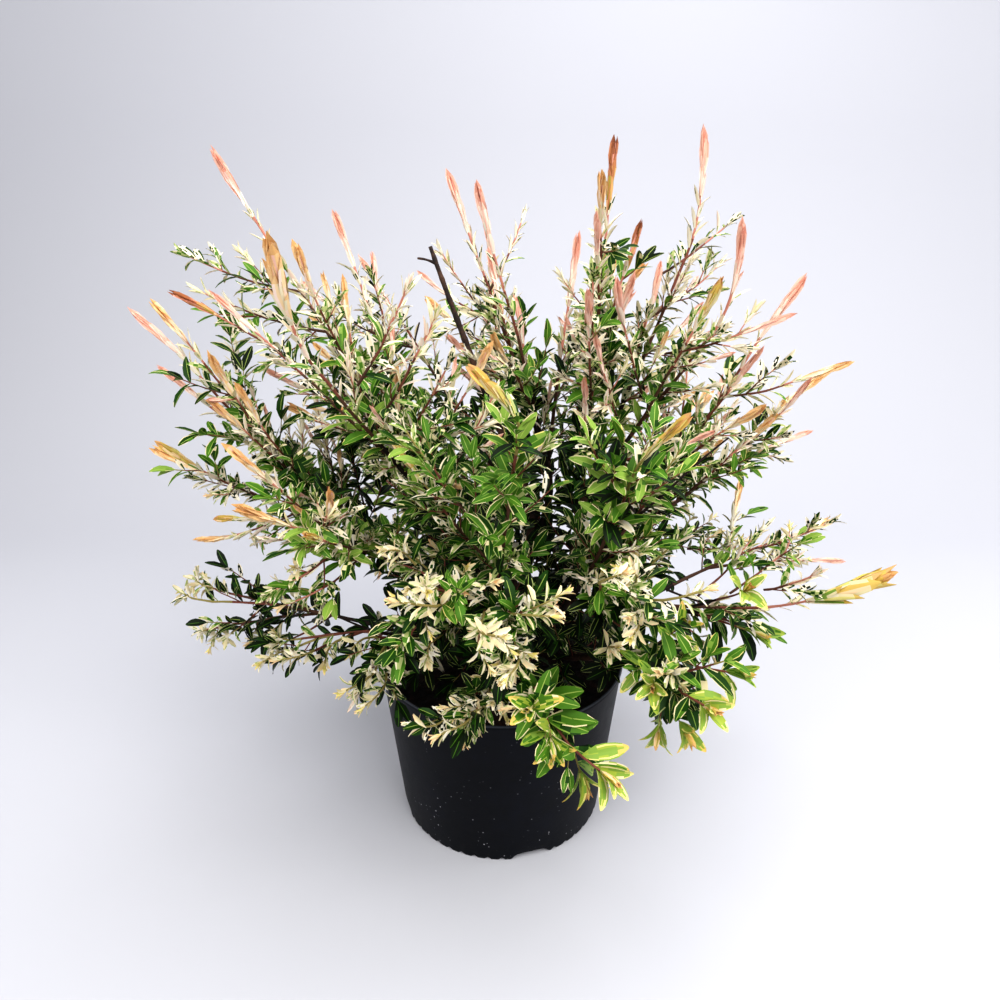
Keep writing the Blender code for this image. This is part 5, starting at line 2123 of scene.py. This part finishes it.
class Foliage(Spray):
    """One mass of foliage, grown by the solids' seeded rule and carried on to finer twigs and leaves."""

    FINE_SEED = 1000

    def __init__(self, name: str, seed: int, limbs: dict[str, Limb], rule: Growth) -> None:
        """Find the mass's bough and its room."""
        self.name, self.plan = name, MASSES[name]
        super().__init__(self.FINE_SEED + seed, rule, self.plan.place())
        self.chance = random.Random(seed)
        self.space = Space(name, limbs, rule)
        self.bough = limbs[self.plan.bough]
        self.others = [limb for limb in limbs.values() if limb is not self.bough]

    def opens(self, point: Vector) -> bool:
        """Whether a twig or leaf may reach a point."""
        return self.space.open(point)

    def outness(self, point: Vector) -> float:
        """How far out a point lies, from 0 at the heart to 1 where the foliage ends."""
        return self.space.outness(point)

    def seat(self) -> Vector:
        """The point on the bough's end face that lies deepest in this mass's room.

        Returns:
            The point.
        """
        heading = self.bough.heading()
        face = self.bough.path[-1] + self.rule.bough_gap * heading
        side = heading.orthogonal().normalized()
        room = self.bough.radii[-1] - self.rule.seat_inset
        best = (self.space.depth(face), face)
        for turn in range(24):
            out = Matrix.Rotation(turn * math.tau / 24, 3, heading) @ side
            for share in (0.35, 0.7, 1.0):
                point = face + share * room * out
                best = max(best, (self.space.depth(point), point), key=lambda entry: entry[0])
        return best[1]

    def grow(self) -> None:
        """Grow the stem, its side twigs as in the solids, the shoots that show, and the finer twigs."""
        rule, tip = self.rule, self.plan.tip()
        start = self.seat()
        span = (tip - start).length
        leaf = rule.leaf_length * min(1.0, max(rule.leaf_least, span / rule.full_span))
        ends_at = tip - (leaf - rule.end_overlap) * (tip - start).normalized()
        middle = start.lerp(ends_at, 0.5) + 2 * self.plan.bow * span * UP
        pull = middle.lerp(start + span / 2 * self.bough.heading(), rule.stem_pull)
        stem = curve_points(start, pull, ends_at, rule.stem_steps)
        count = max(2, round(span / (rule.twig_spacing * leaf / rule.leaf_length)))
        side = self.chance.randrange(rule.twig_sides)
        twigs = []
        for index in range(count):
            share = rule.twig_first + (rule.twig_last - rule.twig_first) * (index + 0.5) / count
            twig = self.side_twig(stem, share, side, span)
            if twig is not None:
                twigs.append(twig)
            side = (side + 1) % rule.twig_sides
        self.lead(start, pull, ends_at, tip)
        for root, end in twigs:
            self.branch(root, end + 0.32 * leaf * (end - root).normalized())
        self.show()
        self.refine()

    def lead(self, start: Vector, pull: Vector, ends_at: Vector, tip: Vector) -> None:
        """Add the leader, from inside the bough's end up to where its end leaves reach the mass's tip.

        Args:
            start: Where the stem of the solids starts.
            pull: The point that its curve is drawn towards.
            ends_at: Where it ends.
            tip: The mass's tip.
        """
        rule, style = self.rule, self.plan.style
        room = rule.plain_room if style is Style.PLAIN else rule.spear_room
        room = rule.rosette_room if style.opens else room
        last = tip - room * (tip - ends_at).normalized()
        foot = start.lerp(self.bough.path[-1] - 0.012 * self.bough.heading(), 0.5)
        path = self.waver(curve_points(start, pull, ends_at, 18) + [ends_at.lerp(last, 0.5), last], 0.0020)
        turn = TURNS.get(self.name, Turn())
        if turn.across or turn.up:
            path = self.bent(path, Vector((turn.across, 0.0, turn.up)), turn.length)
        elif style is Style.CREAM:
            path = self.turned_aside(path, 0.020)
        line = Line(path)
        astray = tip - room * (path[-1] - path[-2]).normalized() - path[-1]
        path = [point + (mark / line.length) * astray for point, mark in zip(path, line.marks)]
        radius = min(rule.leader_radius, rule.leader_share * self.bough.radii[-1])
        line = Line([foot] + path)
        self.shoots.append(Shoot(line, style, Rank.LEADER, radius, rule.leader_tip, turn.swell))

    def side_twig(
        self, stem: list[Vector], share: float, side: int, span: float
    ) -> tuple[Vector, Vector] | None:
        """A side twig where the solids have one.

        Args:
            stem: The stem's points.
            share: How far up the stem it stands.
            side: The face of the stem that is tried first.
            span: The length of the mass.

        Returns:
            Its foot and tip, or None where no twig fits.
        """
        rule = self.rule
        place = share * rule.stem_steps
        step = int(place)
        root = stem[step].lerp(stem[step + 1], place - step)
        heading = (stem[step + 1] - stem[step]).normalized()
        turn = turns_along(stem)[step]
        wanted = min(rule.twig_longest, rule.twig_share * span * (1 - rule.twig_taper * share))
        spread = math.radians(rule.twig_spread)
        for attempt in range(len(rule.twig_shares) * rule.twig_sides):
            angle = (side + attempt) * math.tau / rule.twig_sides - math.pi / 2
            out = turn @ Vector((math.cos(angle), math.sin(angle), 0))
            direction = (math.cos(spread) * heading + math.sin(spread) * out).normalized()
            length = wanted * rule.twig_shares[attempt // rule.twig_sides]
            end = root + length * direction
            checked = (root.lerp(end, 0.1), end)
            if length > rule.twig_shortest and self.space.fits(checked, rule.twig_radius, self.others):
                return root, end
        return None

    def branch(self, root: Vector, end: Vector) -> None:
        """Add a side shoot from a point on the leader, bent up a little and shortened until it fits.

        Args:
            root: The point on the leader.
            end: The shoot's tip before it is shortened.
        """
        if self.fine.random() > self.plan.fullness**0.5:
            return
        length = (end - root).length
        pull = root.lerp(end, 0.5) - 0.06 * length * UP
        points = curve_points(root, pull, end + 0.05 * length * UP, max(5, round(length / 0.009)))
        while len(points) > self.rule.fewest_points and not self.opens(points[-1]):
            points.pop()
        if len(points) == self.rule.fewest_points:
            return
        style, path = self.style_at(points[-1], Rank.SIDE), self.waver(points, 0.0024)
        if style is Style.CREAM:
            path = self.turned_aside(path, 0.016)
        self.shoots.append(Shoot(Line(path), style, Rank.SIDE, *self.rule.side_radii))

    def style_at(self, tip: Vector, rank: Rank) -> Style:
        """How a shoot of a rank ends at a place: green inside the crown, and further out by chance.

        Args:
            tip: The place.
            rank: The rank.

        Returns:
            The style.
        """
        inside = (0.48 if self.place is Place.TOP else 0.60) + 0.22 * self.fine.random()
        if self.outness(tip) < inside:
            return Style.DARK if self.fine.random() < 0.85 else Style.MOTTLED
        draw = self.fine.random()
        of_side, of_fine = self.place.value
        for style, chance in of_side if rank is Rank.SIDE else of_fine:
            draw -= chance
            if draw < 0:
                return style
        return Style.DARK

    def show(self) -> None:
        """Add the long side shoots that show."""
        leader = self.shoots[0].line
        for plan in SHOOTS:
            if plan.mass != self.name:
                continue
            root, turn = leader.at(plan.share * leader.length)
            tip = HEART + plan.reach * towards(plan.bearing, plan.rise)
            back = 0.0 if plan.style is Style.BARE else 0.016 if plan.style.opens else 0.024
            tip -= back * (tip - root).normalized()
            length = (tip - root).length
            pull = root.lerp(tip, 0.45) + 0.12 * length * (turn @ UP)
            points = self.waver(curve_points(root, pull, tip, max(6, round(length / 0.007))), 0.0025)
            if plan.style is Style.CREAM:
                points = self.turned_aside(points, 0.020)
            self.shoots.append(Shoot(Line(points), plan.style, Rank.SIDE, *self.rule.shown_radii))

    def refine(self) -> None:
        """Add the finest twigs to the leader and to every side shoot."""
        for parent in [shoot for shoot in self.shoots if shoot.style is not Style.BARE]:
            line = parent.line
            azimuth = self.fine.uniform(0, 360)
            leads = parent.rank is Rank.LEADER
            bare = 0.34 if leads and self.place is Place.TOP else 0.14
            place = line.length * (0.10 if leads else 0.0) + 0.010
            while place < line.length * (1 - bare) - 0.012:
                self.fine_twig(parent, place, azimuth)
                azimuth += self.rule.golden + self.fine.uniform(-20, 20)
                place += self.rule.fine_pitch * self.fine.uniform(0.7, 1.3)

    def fine_twig(self, parent: Shoot, place: float, azimuth: float) -> None:
        """Add one fine twig, shortened until it fits.

        Args:
            parent: The shoot that it stands on.
            place: How far from the parent's foot it stands.
            azimuth: On which side of the parent.
        """
        rule, line = self.rule, parent.line
        root, turn = line.at(place)
        direction = (self.leaning(turn, azimuth, self.fine.uniform(36, 62)) + 0.10 * UP).normalized()
        longest = min(rule.fine_longest, rule.fine_share * (line.length - place) + 0.012)
        wanted = longest * self.fine.uniform(0.55, 1.1)
        inside, thinning = (1.32, 1.06) if self.place is Place.TOP else (1.45, 0.80)
        if self.fine.random() > (inside - thinning * self.outness(root)) * self.plan.fullness:
            return
        for length in [wanted * share for share in rule.fine_shares]:
            end = root + length * (direction + 0.22 * (turn @ UP)).normalized()
            if length > rule.fine_shortest and self.opens(end) and self.opens(root.lerp(end, 0.6)):
                style, pull = self.style_at(end, Rank.FINE), root + 0.45 * length * direction
                if style is Style.CREAM:
                    points = self.turned_aside(curve_points(root, pull, end, 5), 0.011)
                else:
                    points = curve_points(root, pull, end, 3)
                self.shoots.append(Shoot(Line(points), style, Rank.FINE, *rule.fine_radii))
                return


@dataclass
class Crown:
    """All foliage, joined by the bough that carries it."""

    rule: Growth = field(default_factory=Growth)
    inner_seed: int = 2000
    stem_seed: int = 2100
    stems: tuple[str, ...] = ("stem_middle", "stem_cut")

    def build(self, limbs: dict[str, Limb]) -> None:
        """Grow all masses and join their twigs, leaves and shoot ends, each kind apart, for each bough.

        Args:
            limbs: The limbs that they grow on from.
        """
        carried: dict[str, list[str]] = {}
        for name, plan in MASSES.items():
            carried.setdefault(plan.bough, []).append(name)
        seeds, total = {name: place for place, name in enumerate(MASSES)}, 0
        for bough, names in carried.items():
            sprays: list[Spray] = [Foliage(name, seeds[name], limbs, self.rule) for name in names]
            sprays.append(InnerTwigs(self.inner_seed + seeds[names[0]], limbs[bough], self.rule))
            if bough == "bough_centre":
                for turn, stem in enumerate(self.stems):
                    sprays.append(InnerTwigs(self.stem_seed + turn, limbs[stem], self.rule))
            twigs, leaves, ends = Twigs(), Pile(), Pile()
            for spray in sprays:
                spray.grow()
                spray.wood(twigs)
                spray.leaves(leaves, ends)
            label, nodes = bough.replace("bough_", ""), ["foliage_" + name for name in names]
            place_piece(twigs.join("twigs_" + label), "bark", *nodes)
            place_piece(leaves.join("leaves_" + label), "leaves", *nodes)
            place_piece(ends.join("ends_" + label), "leaves", *nodes)
            total += leaves.count + ends.count
        log.info("foliage: %d leaves", total)


@dataclass
class Pot:
    """The thin black pot: a tapering wall, a plain rim with a rounded edge, and a scalloped foot."""

    height: float = 0.196
    top_radius: float = 0.140
    base_radius: float = 0.1195
    wall: float = 0.0022
    floor: float = 0.0030
    rim_height: float = 0.0045
    rim_proud: float = 0.0009
    steps: int = 384
    scallops: int = 48
    scallop_height: float = 0.0028
    drains: int = 4
    drain_bearing: float = -74.0
    drain_width: float = 0.044
    drain_height: float = 0.0085
    foot_band: float = 0.016
    foot_radius: float = 0.108
    foot_rounding: float = 0.0012
    floor_rounding: float = 0.009
    inset: float = 0.0002
    side_heights: tuple[float, ...] = (0.002, 0.004, 0.007, 0.011, 0.016, 0.03, 0.06, 0.1, 0.15)
    inner_heights: tuple[float, float] = (0.10, 0.02)
    sharp_from: float = 40.0

    def side(self, height: float) -> float:
        """The radius of the tapering outside at a height."""
        return self.base_radius + (self.top_radius - self.base_radius) / self.height * height

    def profile(self) -> list[tuple[float, float]]:
        """The pot's section, from the middle below up the outside, over the rim and down to the middle.

        Returns:
            The radius and the height of each corner.
        """
        under, inside = self.height - self.rim_height, self.top_radius - self.wall
        return [
            (0.0, 0.0),
            (self.foot_radius, 0.0),
            (self.base_radius - self.foot_rounding, 0.0),
            *((self.side(height) - self.inset, height) for height in (*self.side_heights, under)),
            (self.side(under) + self.rim_proud * 0.7, under + 0.0006),
            (self.top_radius, under + 0.0016),
            (self.top_radius, self.height - 0.0009),
            (self.top_radius - 0.0006, self.height),
            (inside + 0.0004, self.height),
            (inside, self.height - 0.0008),
            *((self.side(height) - self.wall, height) for height in self.inner_heights),
            (self.foot_radius, self.floor + self.floor_rounding),
            (0.0, self.floor + self.floor_rounding),
        ]

    def lift(self, bearing: float) -> float:
        """How far the bottom edge stands off the ground at a bearing in radians.

        Args:
            bearing: The bearing.

        Returns:
            The height.
        """
        wave = abs(math.sin(self.scallops / 2 * bearing))
        lift = self.scallop_height * max(0.0, 1 - wave * 1.6) ** 0.7
        half = self.drain_width / 2 / self.base_radius
        for turn in range(self.drains):
            middle = math.radians(self.drain_bearing) + turn * math.tau / self.drains
            away = abs(math.remainder(bearing - middle, math.tau)) / half
            if away < 1.0:
                lift = max(lift, self.drain_height * (1 - away**4) ** 0.8)
        return lift

    def build(self) -> bpy.types.Object:
        """Turn the pot and dress it.

        Returns:
            The pot's object.
        """
        shape = turned(self.profile(), self.steps)
        for corner in shape.verts:
            out = math.hypot(corner.co.x, corner.co.y)
            if corner.co.z < self.foot_band and out > (self.foot_radius + self.base_radius) / 2:
                ease = (1 - corner.co.z / self.foot_band) ** 1.5
                corner.co.z += self.lift(math.atan2(corner.co.y, corner.co.x)) * ease
        bmesh.ops.recalc_face_normals(shape, faces=shape.faces)
        made = shaped("pot_shell", shape, PlasticFinish().make())
        made.data.shade_smooth()
        made.data.set_sharp_from_angle(angle=math.radians(self.sharp_from))
        return place_piece(made, "pot_plastic", "pot")


@dataclass
class Soil:
    """The soil in the pot: a lumpy surface with bark fibre on it."""

    edge_height: float = 0.174
    edge_radius: float = 0.1348
    crown: float = 0.006
    depth: float = 0.012
    rings: int = 40
    steps: int = 128
    lumps: float = 0.0034
    lump_scale: float = 70
    chips: int = 520
    chip_seed: int = 77
    chip_length: tuple[float, float] = (0.003, 0.010)
    chip_width: tuple[float, float] = (0.002, 0.004)
    chip_height: float = 0.0012
    chip_roughness: float = 0.0006

    def height(self, x: float, y: float) -> float:
        """The height of the soil at a place.

        Args:
            x: The place's X.
            y: The place's Y.

        Returns:
            The height.
        """
        out = min(1.0, math.hypot(x, y) / self.edge_radius)
        rough = noise.fractal(Vector((x, y, 0.3)) * self.lump_scale, 0.75, 2.0, 5)
        return self.edge_height + self.crown * (1 - out * out) + self.lumps * rough * (1 - out**12)

    def build(self) -> bpy.types.Object:
        """Make the soil and scatter the chips.

        Returns:
            The soil's object.
        """
        radii = [self.edge_radius * ring / self.rings for ring in range(self.rings + 1)]
        profile = [(radius, self.edge_height) for radius in radii]
        profile += [(self.edge_radius, self.edge_height - self.depth), (0.0, self.edge_height - self.depth)]
        shape = turned(profile, self.steps)
        for corner in shape.verts:
            if corner.co.z > self.edge_height - self.depth / 2:
                corner.co.z = self.height(corner.co.x, corner.co.y)
        bmesh.ops.recalc_face_normals(shape, faces=shape.faces)
        self.scatter(shape)
        return place_piece(shaped("soil_surface", shape, SoilFinish().make()), "soil", "soil")

    def scatter(self, shape: bmesh.types.BMesh) -> None:
        """Scatter chips of bark over the soil.

        Args:
            shape: The soil, to which they are added.
        """
        chance = random.Random(self.chip_seed)
        for _ in range(self.chips):
            out, bearing = self.edge_radius * 0.96 * math.sqrt(chance.random()), chance.uniform(0, math.tau)
            x, y = out * math.cos(bearing), out * math.sin(bearing)
            round_z = Matrix.Rotation(chance.uniform(0, math.tau), 4, "Z")
            turn = round_z @ Matrix.Rotation(chance.gauss(0, 0.3), 4, "X")
            length, width = chance.uniform(*self.chip_length), chance.uniform(*self.chip_width)
            size = Matrix.Diagonal((length, width, self.chip_height, 1))
            place = Matrix.Translation((x, y, self.height(x, y) + self.chip_height / 2))
            chip = bmesh.ops.create_icosphere(shape, subdivisions=1, radius=0.5, matrix=place @ turn @ size)
            for corner in chip["verts"]:
                corner.co += self.chip_roughness * noise.noise_vector(corner.co * 900)


@dataclass(frozen=True)
class Lamp:
    """A square soft light: its place, the point that it looks at, its side, its watts and its colour."""

    name: str
    place: tuple[float, float, float]
    aim: tuple[float, float, float]
    side: float
    watts: float
    colour: tuple[float, float, float] = (1.0, 1.0, 1.0)

    def hang(self) -> None:
        """Put the light in the scene."""
        light = bpy.data.lights.new(self.name, "AREA")
        light.size, light.energy, light.color = self.side, self.watts, self.colour
        made = bpy.data.objects.new(self.name, light)
        made.location = self.place
        made.rotation_euler = (Vector(self.aim) - Vector(self.place)).to_track_quat("-Z", "Y").to_euler()
        bpy.context.scene.collection.objects.link(made)


LAMPS = (
    Lamp("key_soft", (0.9, -1.3, 1.9), (0.0, 0.0, 0.35), 1.5, 45.0, (1.0, 0.98, 0.95)),
    Lamp("fill_left", (-1.2, -1.3, 1.5), (-0.25, -0.1, 0.15), 1.2, 22.0, (1.0, 0.99, 0.96)),
    Lamp("top_soft", (0.5, 0.35, 2.1), (0.0, 0.0, 0.35), 1.6, 26.0),
    Lamp("wall_right", (2.3, 0.2, 1.5), (0.9, 1.6, 0.9), 1.2, 12.0),
)


@dataclass
class Studio:
    """The pale paper sweep, the soft lights and the camera."""

    camera_place: tuple[float, float, float] = (-0.002, -0.766, 0.679)
    camera_pitch: float = 21.03
    focal_pixels: float = 760.0
    frame_pixels: float = 1000.0
    sensor: float = 36.0
    half_width: float = 3.2
    front: float = -2.4
    bend_start: float = 0.75
    bend_radius: float = 0.9
    bend_steps: int = 16
    wall_height: float = 3.0
    sky: tuple[float, float, float, float] = (0.96, 0.96, 0.98, 1.0)
    sky_strength: float = 0.36

    @classmethod
    def seen(cls, point: Vector) -> tuple[Vector, float]:
        """Where a point shows in the frame, and how far ahead it lies.

        Args:
            point: The point.

        Returns:
            Its place in pixels from the frame's upper left corner, and its distance ahead of the camera.
        """
        offset, pitch = point - Vector(cls.camera_place), math.radians(cls.camera_pitch)
        ahead = offset.y * math.cos(pitch) - offset.z * math.sin(pitch)
        above = offset.y * math.sin(pitch) + offset.z * math.cos(pitch)
        scale, middle = cls.focal_pixels / ahead, cls.frame_pixels / 2
        return Vector((middle + offset.x * scale, middle - above * scale)), ahead

    def build(self) -> None:
        """Make the sweep, the lights, the sky and the camera."""
        self.sweep()
        for lamp in LAMPS:
            lamp.hang()
        world = bpy.data.worlds.new("studio_air")
        world.use_nodes = True
        world.node_tree.nodes["Background"].inputs["Color"].default_value = self.sky
        world.node_tree.nodes["Background"].inputs["Strength"].default_value = self.sky_strength
        bpy.context.scene.world = world
        bpy.context.scene.view_settings.view_transform = "Standard"
        bpy.context.scene.view_settings.look = "Medium High Contrast"
        lens = bpy.data.cameras.new("camera")
        lens.sensor_width = self.sensor
        lens.lens = self.focal_pixels * self.sensor / self.frame_pixels
        camera = bpy.data.objects.new("camera", lens)
        camera.location = self.camera_place
        camera.rotation_euler = (math.radians(90 - self.camera_pitch), 0.0, 0.0)
        bpy.context.scene.collection.objects.link(camera)
        bpy.context.scene.camera = camera

    def sweep(self) -> None:
        """Make the floor that bends up into the wall."""
        shape = bmesh.new()
        start = shape.verts.new((-self.half_width, self.front, 0.0))
        path = [start, shape.verts.new((-self.half_width, self.bend_start, 0.0))]
        for step in range(1, self.bend_steps + 1):
            angle = step / self.bend_steps * math.pi / 2
            y = self.bend_start + self.bend_radius * math.sin(angle)
            path.append(shape.verts.new((-self.half_width, y, self.bend_radius * (1 - math.cos(angle)))))
        path.append(shape.verts.new((-self.half_width, self.bend_start + self.bend_radius, self.wall_height)))
        edges = [shape.edges.new(pair) for pair in zip(path, path[1:])]
        grown = bmesh.ops.extrude_edge_only(shape, edges=edges)["geom"]
        moved = [piece for piece in grown if isinstance(piece, bmesh.types.BMVert)]
        bmesh.ops.translate(shape, vec=(2 * self.half_width, 0, 0), verts=moved)
        made = shaped("paper_sweep", shape, StudioFinish().make())
        made.data.shade_smooth()


def main() -> None:
    """Build the studio, the pot, the soil, the limbs and the foliage, in that order."""
    noise.seed_set(NOISE_SEED)
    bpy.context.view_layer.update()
    Studio().build()
    Pot().build()
    Soil().build()
    limbs = Stool().limbs()
    Bark().build(limbs)
    Pile.stock(seed=3)
    Crown().build(limbs)


if __name__ == "__main__":
    main()
